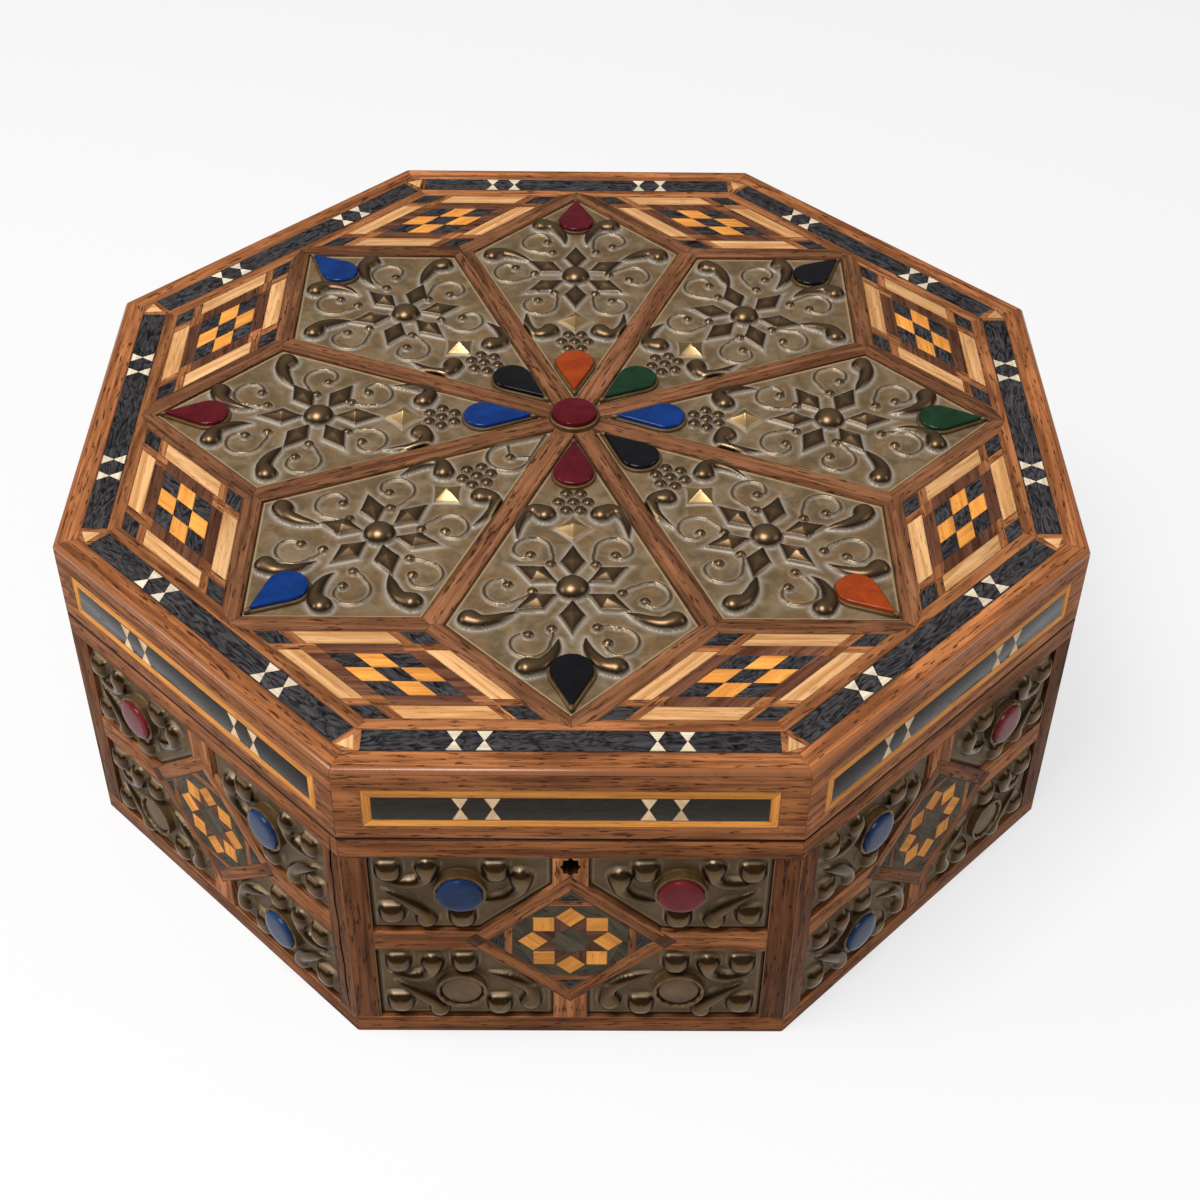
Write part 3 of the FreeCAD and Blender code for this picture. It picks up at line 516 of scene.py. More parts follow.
topRows, sideRows = [], []
for side in range(8):
    flat = turned(side) @ Matrix.Translation((0, 0, lidTop["height"] * mm))
    for x in lidTop["places"]:
        for points in hourglass(x, -lidTop["bandMiddle"], lidTop["half"], lidTop["bandHalf"]):
            topRows.append((points, flat))
    for x in lidSide["places"]:
        for points in hourglass(x, lidSide["middle"], lidSide["half"], lidSide["bandHalf"]):
            sideRows.append((points, onWall(side, lidSide["face"])))
addTiles("bone_hourglasses_top", topRows, bone, "lemonwood", "lid")
addTiles("bone_hourglasses_side", sideRows, boneSide, "lemonwood", "lid")

# rhombus joints: brown stubs beside the lemonwood strips and brown corners in the dark ring
rhombus = {"inner": 141.33, "side": (9.66, -175.0), "band": 0.145, "core": 0.26, "stub": 0.078}


def rhombusPoint(u, v):
    way = Vector((math.sin(math.pi / 8), -math.cos(math.pi / 8)))
    inner, first = way * rhombus["inner"], Vector(rhombus["side"])
    second = 2 * way * first.dot(way) - first
    return tuple(inner + (first - inner) * u + (second - inner) * v)


def patch(u0, u1, v0, v1):
    return shiftedBack([rhombusPoint(u, v) for u, v in ((u0, v0), (u1, v0), (u1, v1), (u0, v1))], 0.015)


band, core, stub = rhombus["band"], rhombus["core"], rhombus["stub"]
stubs = []
for start in (band, 1 - band - stub):
    for low in (0.0, 1 - band):
        stubs += [(start, start + stub, low, low + band), (low, low + band, start, start + stub)]
corners = [(u, u + core - band, v, v + core - band) for u in (band, 1 - core) for v in (band, 1 - core)]
rows = [(patch(*spot), turned(side) @ Matrix.Translation((0, 0, lidTop["height"] * mm)))
        for side in range(8) for spot in stubs + corners]
addTiles("rhombus_stubs", rows, thuya, "thuya_wood", "lid")

# the rosette in each wall's diamond, about its middle
rosette = {"middle": 56.125, "face": 200.0, "ring": 14.0, "half": 5.8, "star": 8.2, "notch": 6.28,
           "diamond": (30.8, 28.8), "barUp": (20.3, 23.4), "barOut": (21.4, 24.8), "gap": 0.03}


def polar(radius, turns):
    return radius * math.cos(turns * math.tau / 16), radius * math.sin(turns * math.tau / 16)


def rosetteTiles():
    ring, half, star = rosette["ring"], rosette["half"], rosette["star"]
    reach, tip = math.hypot(ring, half), ring + half
    squares, kites, fills = [], [], []
    for k in range(0, 16, 2):
        squares.append([polar(star, k), polar(reach, k - 1), polar(tip, k), polar(reach, k + 1)])
        notch = polar(rosette["notch"], k + 1)
        kites.append([notch, polar(star, k), polar(reach, k + 1), polar(star, k + 2)])
        fills.append([polar(tip, k), polar(tip, k + 2), polar(reach, k + 1)])
    starPoints = [polar(star if k % 2 == 0 else rosette["notch"], k) for k in range(16)]
    width, height = rosette["diamond"]
    bars, wedges = [], []
    for way in (1, -1):
        low, high = rosette["barUp"]
        near, far = width * (1 - low / height), width * (1 - high / height)
        bars.append([(-near, low * way), (near, low * way), (far, high * way), (-far, high * way)])
        wedges.append([(-far * 0.8, high * way), (far * 0.8, high * way), (0, (high + far * 0.7) * way)])
        low, high = rosette["barOut"]
        near, far = height * (1 - low / width), height * (1 - high / width)
        bars.append([(low * way, -near), (low * way, near), (high * way, far), (high * way, -far)])
        wedges.append([(high * way, -far * 0.8), (high * way, far * 0.8), ((high + far * 0.85) * way, 0)])
    return {"golden_wood": squares, "walnut": kites, "olive_wood": fills + [starPoints],
            "ebony": wedges, "thuya": bars}


slotOf = {"golden_wood": "lemonwood", "olive_wood": "walnut", "thuya": "thuya_wood"}
finishOf = {"golden_wood": golden, "walnut": walnut, "olive_wood": olive, "ebony": ebony, "thuya": thuya}
for wood, shapes in rosetteTiles().items():
    rows = []
    for side in range(8):
        placing = onWall(side, rosette["face"]) @ Matrix.Translation((0, rosette["middle"] * mm, 0))
        rows += [(shiftedBack(points, rosette["gap"]), placing) for points in shapes]
    addTiles("rosette_" + wood, rows, finishOf[wood], slotOf.get(wood, wood), "body")

# a drying crack down one stile: height, place along the wall and half width
crack = {
    "side": 7,
    "line": [(111.5, 79.0, 0.15), (104, 78.6, 0.4), (95, 77.6, 0.6), (86, 78.2, 0.3), (74, 77.5, 0.5),
             (62, 78.4, 0.4), (50, 77.9, 0.6), (38, 78.9, 0.4), (24, 78.5, 0.5), (9, 79.2, 0.15)]}
edges = [[(x + way * half, z) for z, x, half in crack["line"]] for way in (1, -1)]
rows = [((edges[0][n], edges[0][n + 1], edges[1][n + 1], edges[1][n]), onWall(crack["side"], rosette["face"]))
        for n in range(len(edges[0]) - 1)]
addTiles("stile_crack", rows, split, "thuya_wood", "body")
print("inlays laid")


# raised work: each motif gives its height and how far inside its outline a point lies, in millimetres
def stroke(a, b, line, power=0.55):  # line of (a, b, radius, height)
    height, inside = np.zeros_like(a), np.full_like(a, -99.0)
    for p, q in zip(line, line[1:]):
        da, db = q[0] - p[0], q[1] - p[1]
        span = max(da * da + db * db, 1e-9)
        t = np.clip(((a - p[0]) * da + (b - p[1]) * db) / span, 0, 1)
        gap = np.hypot(a - p[0] - t * da, b - p[1] - t * db)
        radius, rise = p[2] + t * (q[2] - p[2]), p[3] + t * (q[3] - p[3])
        full = np.clip(1 - (gap / radius) ** 2, 0, 1) ** power * rise
        height, inside = np.maximum(height, full), np.maximum(inside, radius - gap)
    return height, inside


def smoothLine(points, steps=6):  # a flowing line through the points
    full = np.array([points[0], *points, points[-1]], float)
    line = []
    for p, q, r, s in zip(full, full[1:], full[2:], full[3:]):
        for t in np.arange(steps) / steps:
            bend = 2 * p - 5 * q + 4 * r - s + t * (3 * (q - r) + s - p)
            line.append(tuple(q + 0.5 * t * (r - p + t * bend)))
    return line + [tuple(full[-1])]


def ball(a, b, middle, radius, rise):
    return stroke(a, b, [(*middle, radius, rise), (*middle, radius, rise)])


def facet(a, b, start, end, half, rise, belly=0.5, hollow=0.86, edge=0.5, power=1.0):  # a ridged diamond
    way = np.array(end, float) - np.array(start, float)
    length = np.hypot(*way)
    way /= length
    u = (a - start[0]) * way[0] + (b - start[1]) * way[1] - belly * length
    v = -(a - start[0]) * way[1] + (b - start[1]) * way[0]
    u = np.where(u < 0, -u / (belly * length), u / ((1 - belly) * length))
    reach = u ** hollow + (np.abs(v) / half) ** hollow
    inside = (1 - reach) * half * 0.8
    return np.clip(1 - reach, 0, 1) ** power * rise + np.clip(inside / 0.4, 0, 1) * edge, inside


def bud(a, b, middle, half, rise):  # square above with two ridges, rounder below
    x, y = np.abs(a - middle[0]) / half, (b - middle[1]) / half
    power = np.where(y > 0, 4.5, 2.6)
    reach = (x ** power + np.abs(y) ** power) ** (1 / power)
    horn = np.exp(-((x - y) / 0.22) ** 2) * np.clip(y * 1.6, 0, 1)
    pillow = np.clip(1 - reach ** 2.6, 0, 1) ** 0.6 * 0.8 + np.clip(1 - reach, 0, 1) ** 0.7 * 0.2
    return pillow * (0.95 + 0.08 * horn) * rise, (1 - reach) * half


def waves(a, b, seed, size, rise):  # low swell of hand-hammered sheet
    draw = random.Random(seed)
    total = np.zeros_like(a)
    for _ in range(7):
        turn, phase = draw.uniform(0, math.tau), draw.uniform(0, math.tau)
        pitch = size * draw.uniform(0.6, 1.7)
        total += np.sin((a * math.cos(turn) + b * math.sin(turn)) * math.tau / pitch + phase)
    return total * rise / 7


# flat sheet with a fine net of faces, cut to its outline and closed below
def blankSheet(outline, net, thickness):
    low = [min(p[i] for p in outline) for i in (0, 1)]
    high = [max(p[i] for p in outline) for i in (0, 1)]
    size = [high[i] - low[i] for i in (0, 1)]
    middle = [(high[i] + low[i]) / 2 for i in (0, 1)]
    fit = Matrix.Translation((*middle, 0)) @ Matrix.Diagonal((size[0] / 2 + net, size[1] / 2 + net, 1, 1))
    bm = bmesh.new()
    cells = [round(size[i] / net) + 2 for i in (0, 1)]
    bmesh.ops.create_grid(bm, x_segments=cells[0], y_segments=cells[1], size=1.0, matrix=fit)
    centre = Vector((*[sum(p[i] for p in outline) / len(outline) for i in (0, 1)], 0))
    for p, q in zip(outline, outline[1:] + outline[:1]):
        out = Vector((q[1] - p[1], p[0] - q[0], 0))
        out = out if out.dot(centre - Vector((*p, 0))) < 0 else -out
        everything = bm.verts[:] + bm.edges[:] + bm.faces[:]
        bmesh.ops.bisect_plane(
            bm, geom=everything, dist=0.02, plane_co=(*p, 0), plane_no=out, clear_outer=True)
    rim = [e for e in bm.edges if e.is_boundary]
    skirt = bmesh.ops.extrude_edge_only(bm, edges=rim)["geom"]
    hem = [v for v in skirt if isinstance(v, bmesh.types.BMVert)]
    bmesh.ops.translate(bm, verts=hem, vec=(0, 0, -thickness))
    bmesh.ops.contextual_create(bm, geom=[e for e in bm.edges if e.is_boundary])
    bmesh.ops.recalc_face_normals(bm, faces=bm.faces[:])
    mesh = bpy.data.meshes.new("blank")
    bm.to_mesh(mesh)
    bm.free()
    return mesh


def outlineGap(a, b, outline):  # distance to the nearest side, inside positive
    gap = np.full_like(a, 99.0)
    ca, cb = [sum(p[i] for p in outline) / len(outline) for i in (0, 1)]
    for p, q in zip(outline, outline[1:] + outline[:1]):
        na, nb = q[1] - p[1], p[0] - q[0]
        far = math.hypot(na, nb) * (1 if (ca - p[0]) * na + (cb - p[1]) * nb > 0 else -1)
        gap = np.minimum(gap, ((a - p[0]) * na + (b - p[1]) * nb) / far)
    return gap


# raises a copy of the blank by its motifs, given as functions of the flat place
def raiseSheet(blank, outline, motifs, look, seed):
    mesh = blank.copy()
    flat = np.zeros(len(mesh.vertices) * 3)
    mesh.vertices.foreach_get("co", flat)
    flat = flat.reshape(-1, 3)
    a, b, top = flat[:, 0], flat[:, 1], flat[:, 2] > -0.5 * look["thickness"]
    high, halo, boss, polishAndHighlight = np.zeros_like(a), np.zeros_like(a), np.zeros_like(a), np.zeros_like(a)
    groove, crest = np.zeros_like(a), np.zeros_like(a)
    for kind, args, bright, spread in motifs:
        rise, inside = kind(a, b, *args)
        high = np.maximum(high, rise)
        boss = np.maximum(boss, np.clip(inside / 0.5, 0, 1))
        # the top of each motif, later painted as a highlight against darker flanks
        crest = np.maximum(crest, np.clip((inside - look["flank"]) / 2.4, 0, 1))
        fade = np.clip(1 + np.minimum(inside, 0) / (look["haloWidth"] * spread), 0, 1)
        halo = np.maximum(halo, fade ** 1.7 * spread)
        groove = np.maximum(groove, np.exp(-((inside + 0.45) / 0.5) ** 2) * spread)
        polishAndHighlight = np.maximum(polishAndHighlight, np.clip(inside / 0.6, 0, 1) * bright)
    gap = outlineGap(a, b, outline)
    fold = np.exp(-((gap - look["seam"] - 0.35) / 0.35) ** 2)
    swell = waves(a, b, seed, look["swell"], look["swellRise"]) * np.clip(gap / 3, 0, 1)
    lift = high + swell + look["fold"] * fold - look["groove"] * groove * (1 - boss)
    flat[:, 2] += np.where(top, lift, 0)
    mesh.vertices.foreach_set("co", (flat * mm).ravel())
    # the edge fold adds a painted highlight to the pale halo
    edged = np.maximum(halo * (1 - boss), fold * 0.3)
    # painted shade: near-black along the sheet's edge where it meets the wood
    gapShade = np.clip(1.6 - gap / look["seam"] * 1.6, 0, 1) * 0.9
    # painted highlight: the highest tops and the edge fold take the pale polish colour
    crown = np.clip((high / max(high.max(), 1e-6) - 0.72) / 0.28, 0, 1) * look["crown"]
    polishAndHighlight = np.maximum(np.maximum(polishAndHighlight, crown), fold * look["foldHighlight"])
    marks = {"boss": boss, "crest": crest, "halo": edged, "polishAndHighlight": polishAndHighlight, "gapShade": gapShade}
    for name, values in marks.items():
        mesh.attributes.new(name, "FLOAT", "POINT").data.foreach_set("value", values.astype(np.float32))
    return mesh


kite = {
    "outline": [(11.9, 0.0), (126.0, 47.15), (173.2, 0.0), (126.0, -47.15)], "plate": 147.55, "net": 0.45,
    "thickness": 1.4, "haloWidth": 2.8, "swell": 16.0, "swellRise": 0.22, "fold": 0.35, "foldHighlight": 0.7,
    "groove": 0.18, "crown": 0.1, "flank": 0.5, "seam": 0.45,
    "dome": (106.0, 6.6, 5.0), "petal": (5.9, 25.8, 5.5, 2.1), "stud": (71.0, 7.9, 7.9, 3.5),
    "commas": [
        [(62.8, 11.0, 4.7, 4.0), (60.6, 14.2, 3.6, 3.5), (61.2, 17.4, 3.0, 3.0), (64.6, 19.8, 2.5, 2.6),
         (69.8, 21.1, 1.8, 2.0), (77.2, 21.6, 0.5, 0.7)],
        [(123.4, 38.2, 4.7, 4.0), (125.0, 34.0, 3.5, 3.4), (123.8, 28.8, 2.9, 2.8), (121.4, 24.4, 2.0, 2.0),
         (119.0, 20.4, 0.5, 0.7)],
        [(148.6, 16.2, 4.7, 4.0), (147.6, 11.4, 3.6, 3.4), (143.4, 7.8, 2.8, 2.8), (138.2, 5.6, 1.9, 2.0),
         (133.2, 5.0, 0.5, 0.7)],
    ],
    "scrolls": [  # middle, first angle, sweep, last radius
        (83.5, -16.0, 53, -314, 3.3), (83.5, 16.0, 127, 314, 3.3), (107.2, -26.5, 0, 302, 3.8),
        (109.6, 30.0, 187, 303, 4.4), (136.0, -15.8, -50, 310, 4.6), (135.2, 17.6, 228, 312, 4.5),
    ],
    "wire": (0.75, 1.0), "bead": (2.25, 2.0), "grape": (2.7, 2.3),
    "grapes": [(49.7, -2.9), (49.7, 2.9), (54.9, -5.8), (54.9, 0.0), (54.9, 5.8), (60.1, -2.8), (60.1, 2.8)],
    "innerDrop": (31.5, 28.5, 16.2), "outerDrop": (156.5, 26.5, 16.2),
}


def scrollLine(spot, jitter):
    a, b, first, sweep, last = spot
    line = []
    for k in range(33):
        t = k / 32
        radius = float(np.interp(t, (0, 0.13, 0.5, 0.78, 0.93, 1), (11.4, 7.8, 6.9, 7.0, 5.8, last)))
        turn = math.radians(first + jitter + sweep * t)
        line.append((a + radius * math.sin(turn), b + radius * math.cos(turn), *kite["wire"]))
    return line


def kiteMotifs(side, hasInner):
    draw = random.Random(40 + side)
    place, radius, rise = kite["dome"]
    motifs = [(ball, ((place, 0), radius, rise), 0.0, 1.0)]
    first, last, half, rise = kite["petal"]
    for k in range(6):
        way = (math.cos(k * math.tau / 6), math.sin(k * math.tau / 6))
        ends = [(place + r * way[0], r * way[1]) for r in (first, last + draw.uniform(-0.5, 0.5))]
        motifs.append((facet, (*ends, half, rise, 0.46, 0.96, 1.2, 1.2), 0.0, 0.9))
    middle, along, half, rise = kite["stud"]
    motifs.append((facet, ((middle - along, 0), (middle + along, 0), half, rise), 0.6, 0.7))
    for line in kite["commas"]:
        for way in (1, -1):
            shift = draw.uniform(-0.35, 0.35)
            flowing = smoothLine([(a + shift, b * way, r, h) for a, b, r, h in line])
            motifs.append((stroke, (flowing,), 0.0, 1.0))
    for spot in kite["scrolls"]:
        line = scrollLine(spot, draw.uniform(-7, 7))
        motifs.append((stroke, (line,), 0.25, 0.6))
        for end in (line[0], line[-1]):
            motifs.append((ball, (end[:2], *kite["bead"]), 0.05, 0.5))
    for spot in kite["grapes"]:
        motifs.append((ball, (spot, *kite["grape"]), 0.03, 0.5))
    if not hasInner:  # the empty setting keeps its wire, a bead and a few scored lines
        place, length, width = kite["innerDrop"]
        line = [(p[0], p[1], 0.9, 1.4) for p in dropPoints(place, length + 1.2, width + 1.2, -1, 40)]
        motifs.append((stroke, (line + line[:1],), 0.2, 0.8))
        motifs.append((ball, ((place + 5.5, 0.5), 2.3, 2.1), 0.05, 0.6))
        for turn in (-2.2, 2.4):
            end = (place + 5.5 + 7.5 * math.cos(turn), 0.5 + 7.5 * math.sin(turn))
            motifs.append((stroke, ([(place + 5.5, 0.5, 0.5, 0.7), (*end, 0.8, 1.1)],), 0.1, 0.5))
    return motifs


def dropPoints(middle, length, width, way, count):  # a round head drawn out to a tip, outward is +1
    radius = width / 2
    head, reach = middle - way * (length / 2 - radius), math.pi / 2 + math.asin(radius / (length - radius))
    points = [(middle + way * length / 2, 0.0)]
    for k in range(count):
        turn = reach * (2 * k / (count - 1) - 1)
        points.append((head - way * radius * math.cos(turn), radius * math.sin(turn)))
    return points


blank = blankSheet(kite["outline"], kite["net"], kite["thickness"])
# the sheet's first axis runs out of the front
stand = Matrix(((0, 1, 0, 0), (-1, 0, 0, 0), (0, 0, 1, kite["plate"] * mm), (0, 0, 0, 1)))
outerDrops = ["black", "orange", "green", "black", "red", "blue", "red", "blue"]
innerDrops = ["red", "black", "blue", "green", "orange", "black", "blue", None]
for side, name in enumerate(sideNames):
    mesh = raiseSheet(blank, kite["outline"], kiteMotifs(side, innerDrops[side]), kite, 70 + side)
    mesh.transform(turned(side) @ stand)
    addMesh("lid_relief_" + name, mesh, bronze, "lid", ["lid_reliefs"], 50.0)
print("lid reliefs raised")

panel = {
    "opening": (6.5, 73.04), "rows": {"upper": (61.75, 103.25), "lower": (9.0, 50.5)}, "gap": 0.35,
    "net": 0.5, "face": 198.0, "thickness": 1.9, "haloWidth": 1.1, "swell": 12.0, "swellRise": 0.15,
    "fold": 0.3, "foldHighlight": 0.12, "groove": 0.12, "crown": 0.05, "flank": 0.9, "seam": 0.9, "middle": 56.125,
    "diamond": (39.6, 37.0), "bud": (5.6, 4.8),
    "buds": {
        "upper": [(0.11, 0.805), (0.69, 0.805), (0.115, 0.235), (0.5, 0.185)],
        "lower": [(0.125, 0.805), (0.5, 0.805), (0.12, 0.215), (0.69, 0.185)],
    },
    "leaves": {  # share along, share up, radius, height
        "upper": [
            [(0.318, 0.85, 5.0, 4.7), (0.316, 0.745, 3.7, 4.1), (0.278, 0.67, 2.8, 3.6), (0.2, 0.642, 2.8, 3.3),
             (0.13, 0.65, 2.2, 2.6), (0.06, 0.675, 0.4, 0.9)],
            [(0.07, 0.54, 0.4, 0.9), (0.14, 0.47, 2.2, 2.7), (0.22, 0.37, 3.1, 3.6), (0.285, 0.26, 3.5, 4.0),
             (0.3, 0.17, 4.7, 4.5)],
            [(0.829, 0.72, 5.0, 4.7), (0.826, 0.59, 3.4, 4.0), (0.78, 0.5, 2.6, 3.5), (0.70, 0.435, 2.2, 3.0),
             (0.62, 0.41, 0.5, 1.2)],
        ],
        "lower": [
            [(0.312, 0.81, 5.0, 4.7), (0.31, 0.705, 3.7, 4.1), (0.273, 0.63, 2.8, 3.6), (0.21, 0.597, 2.8, 3.3),
             (0.145, 0.605, 2.2, 2.6), (0.07, 0.63, 0.4, 0.9)],
            [(0.10, 0.505, 0.4, 0.9), (0.17, 0.435, 2.2, 2.7), (0.25, 0.33, 3.1, 3.6), (0.32, 0.22, 3.5, 4.0),
             (0.345, 0.14, 4.7, 4.5)],
            [(0.875, 0.25, 4.9, 4.6), (0.885, 0.37, 3.5, 4.0), (0.85, 0.49, 3.3, 3.7), (0.76, 0.575, 2.7, 3.1),
             (0.645, 0.64, 0.4, 1.0)],
        ],
    },
    "collars": {"upper": (0.495, 0.572), "lower": (0.477, 0.448)},
}


def panelPlace(row, share, up):
    near, far = panel["opening"]
    low, high = panel["rows"][row]
    return share * (far - near) - far, low + up * (high - low)


def panelOutline(row):
    (near, far), (low, high), gap = panel["opening"], panel["rows"][row], panel["gap"]
    width, height = panel["diamond"]
    slant = math.hypot(width, height)
    near, far, low, high = near + gap, far - gap, low + gap, high - gap

    def edgeX(z):  # where the diamond's frame cuts the corner
        return width * (1 - abs(z - panel["middle"]) / height) + gap * slant / height

    def edgeZ(x):
        return height * (1 - x / width) + gap * slant / width

    if row == "upper":
        cut = [(-edgeX(low), low), (-near, panel["middle"] + edgeZ(near))]
        return [(-far, low), *cut, (-near, high), (-far, high)]
    cut = [(-near, panel["middle"] - edgeZ(near)), (-edgeX(high), high)]
    return [(-far, low), (-near, low), *cut, (-far, high)]


def panelMotifs(row, side):
    draw = random.Random(200 + side * 2 + (row == "upper"))
    half, rise = panel["bud"]
    motifs = [(bud, (panelPlace(row, *spot), half + draw.uniform(-0.2, 0.2), rise), 0.0, 1.0)
              for spot in panel["buds"][row]]
    for leaf in panel["leaves"][row]:
        shift = draw.uniform(-0.006, 0.006)
        line = smoothLine([(*panelPlace(row, p[0] + shift, p[1]), p[2], p[3]) for p in leaf])
        motifs.append((stroke, (line,), 0.0, 1.0))
    return motifs


mirrorX = Matrix.Diagonal((-1, 1, 1, 1))
for row in ("upper", "lower"):
    outline = panelOutline(row)
    blank = blankSheet(outline, panel["net"], panel["thickness"])
    for hand in ("left", "right"):
        bm = bmesh.new()
        for side in range(8):
            seed = 300 + side * 4 + (hand == "left")
            mesh = raiseSheet(blank, outline, panelMotifs(row, side), panel, seed)
            mirrored = mirrorX if hand == "right" else Matrix.Identity(4)
            mesh.transform(onWall(side, panel["face"]) @ mirrored)
            bm.from_mesh(mesh)
            bpy.data.meshes.remove(mesh)
        if hand == "right":
            bmesh.ops.reverse_faces(bm, faces=bm.faces[:])
        addPiece("side_relief_" + row + "_" + hand + "_sheet", bm, bronzeDark, "body", "bronze",
                 ["side_relief_" + row + "_" + hand], 50.0)
print("side reliefs raised")


def lathe(bm, profile, steps, placing):  # profile of (radius, height) in millimetres, turned about z
    line = [bm.verts.new((r * mm, 0, h * mm)) for r, h in profile]
    edges = [bm.edges.new(pair) for pair in zip(line, line[1:])]
    before = set(bm.verts) - set(line)
    bmesh.ops.spin(
        bm, geom=line + edges, axis=(0, 0, 1), cent=(0, 0, 0), angle=math.tau, steps=steps, use_merge=True)
    turnedVerts = [v for v in bm.verts if v not in before]
    bmesh.ops.remove_doubles(bm, verts=turnedVerts, dist=0.001 * mm)
    turnedVerts = [v for v in bm.verts if v not in before]
    faces = list({face for v in turnedVerts for face in v.link_faces})
    bmesh.ops.recalc_face_normals(bm, faces=faces)
    bmesh.ops.transform(bm, matrix=placing, verts=turnedVerts)
    return turnedVerts


# collars on the walls, crimped at the lip, with a bare disc inside
collar = {
    "steps": 72, "teeth": 12, "bite": 0.5, "lip": (8.3, 9.4), "lipFrom": 3.0, "groove": (7.6, 8.6, 2.5),
    "profile": [(10.4, -0.3), (10.1, 0.25), (9.55, 0.7), (9.5, 3.1), (9.75, 3.6), (9.7, 4.1), (9.25, 4.35),
                (8.75, 4.25), (8.55, 3.75), (8.5, 1.9), (7.75, 1.9), (7.55, 3.2), (7.0, 3.45), (0.0, 3.55)],
}


def crimp(verts, placing):  # presses the lip in between its teeth and paints shade into the groove
    home = placing.inverted()
    inner, outer, top = collar["groove"]
    for v in verts:
        x, y, z = home @ v.co / mm
        radius = math.hypot(x, y)
        if inner < radius < outer and z < top:
            v[gapShade] = 1.0
        if z > collar["lipFrom"] and collar["lip"][0] < radius < collar["lip"][1]:
            press = collar["bite"] * max(0.0, math.cos(math.atan2(y, x) * collar["teeth"])) ** 0.5
            share = 1 - press / radius
            v.co = placing @ (Vector((x * share, y * share, z - press * 0.6)) * mm)


sideStone = {
    "steps": 48,
    "profile": [(8.35, 2.6), (8.4, 4.7), (8.15, 5.35), (7.5, 5.75), (6.2, 5.9), (3.0, 6.0), (0.0, 6.0)]}
wholeWall = {"upper_left": "blue", "upper_right": "red", "lower_left": "red", "lower_right": "blue"}
wornWalls = {
    "front": {"upper_left": "blue", "upper_right": "red"},
    "front_right": {"upper_left": "blue", "upper_right": "red", "lower_left": "blue"},
    "front_left": {"upper_left": "red", "upper_right": "blue", "lower_right": "blue"},
}
collars, gems = bmesh.new(), {"blue": bmesh.new(), "red": bmesh.new()}
# painted shade in each collar's groove, set by crimp
gapShade = collars.verts.layers.float.new("gapShade")
for side, name in enumerate(sideNames):
    for row in ("upper", "lower"):
        x, z = panelPlace(row, *panel["collars"][row])
        for hand in ("left", "right"):
            middle = Matrix.Translation(((x if hand == "left" else -x) * mm, z * mm, 0))
            placing = onWall(side, panel["face"]) @ middle
            crimp(lathe(collars, collar["profile"], collar["steps"], placing), placing)
            colour = wornWalls.get(name, wholeWall).get(row + "_" + hand)
            if colour:
                lathe(gems[colour], sideStone["profile"], sideStone["steps"], placing)
addPiece("side_collar_rings", collars, bronzeCollar, "body", "bronze", ["side_collars"])
for colour, bm in gems.items():
    gem = "stone_" + colour
    addPiece("side_cabochons_" + colour, bm, sideStones[colour], "body", gem, ["side_stones_" + colour])
print("collars and side stones set")


# drop stones: a circle drawn out to a tip, raised and rounded over
drop = {"steps": 48, "stoneBase": 147.4, "stoneTop": 150.56, "round": 0.8, "crown": 0.06,
        "crownRings": (0.9, 0.7, 0.5), "seatTop": 149.0, "seatBase": 146.9, "seatMargin": 0.95, "lip": 0.4,
        "claw": (1.5, 1.1, 149.3)}


def addTo(bm, part, placing):  # part is used up
    bmesh.ops.transform(part, matrix=placing, verts=part.verts[:])
    mesh = bpy.data.meshes.new("part")
    part.to_mesh(mesh)
    part.free()
    bm.from_mesh(mesh)
    bpy.data.meshes.remove(mesh)


def dropSolid(middle, length, width, way, base, top, edge):
    part = bmesh.new()
    points = dropPoints(middle, length, width, way, drop["steps"])
    face = part.faces.new([part.verts.new((a * mm, b * mm, base * mm)) for a, b in points])
    raised = bmesh.ops.extrude_face_region(part, geom=[face], use_keep_orig=True)["geom"]
    upper = [v for v in raised if isinstance(v, bmesh.types.BMVert)]
    bmesh.ops.translate(part, verts=upper, vec=(0, 0, (top - base) * mm))
    bmesh.ops.recalc_face_normals(part, faces=part.faces[:])
    ring = [e for e in raised if isinstance(e, bmesh.types.BMEdge)]
    bmesh.ops.bevel(part, geom=ring, offset=edge * mm, offset_type="OFFSET", segments=5, profile=0.5,
                    affect="EDGES", clamp_overlap=True, material=-1)
    belly = Vector((middle - way * (length - width) / 2, 0, 0)) * mm
    for share in drop["crownRings"]:  # a low crown in a few rings drawn towards the belly
        crown = max(part.faces, key=lambda f: f.calc_center_median().z)
        raised = bmesh.ops.extrude_face_region(part, geom=[crown])["geom"]
        upper = [v for v in raised if isinstance(v, bmesh.types.BMVert)]
        bmesh.ops.scale(part, verts=upper, vec=(share, share, 1), space=Matrix.Translation(-belly))
        bmesh.ops.translate(part, verts=upper, vec=(0, 0, drop["crown"] * mm))
        bmesh.ops.delete(part, geom=[f for f in part.faces if f == crown], context="FACES_ONLY")
    return part


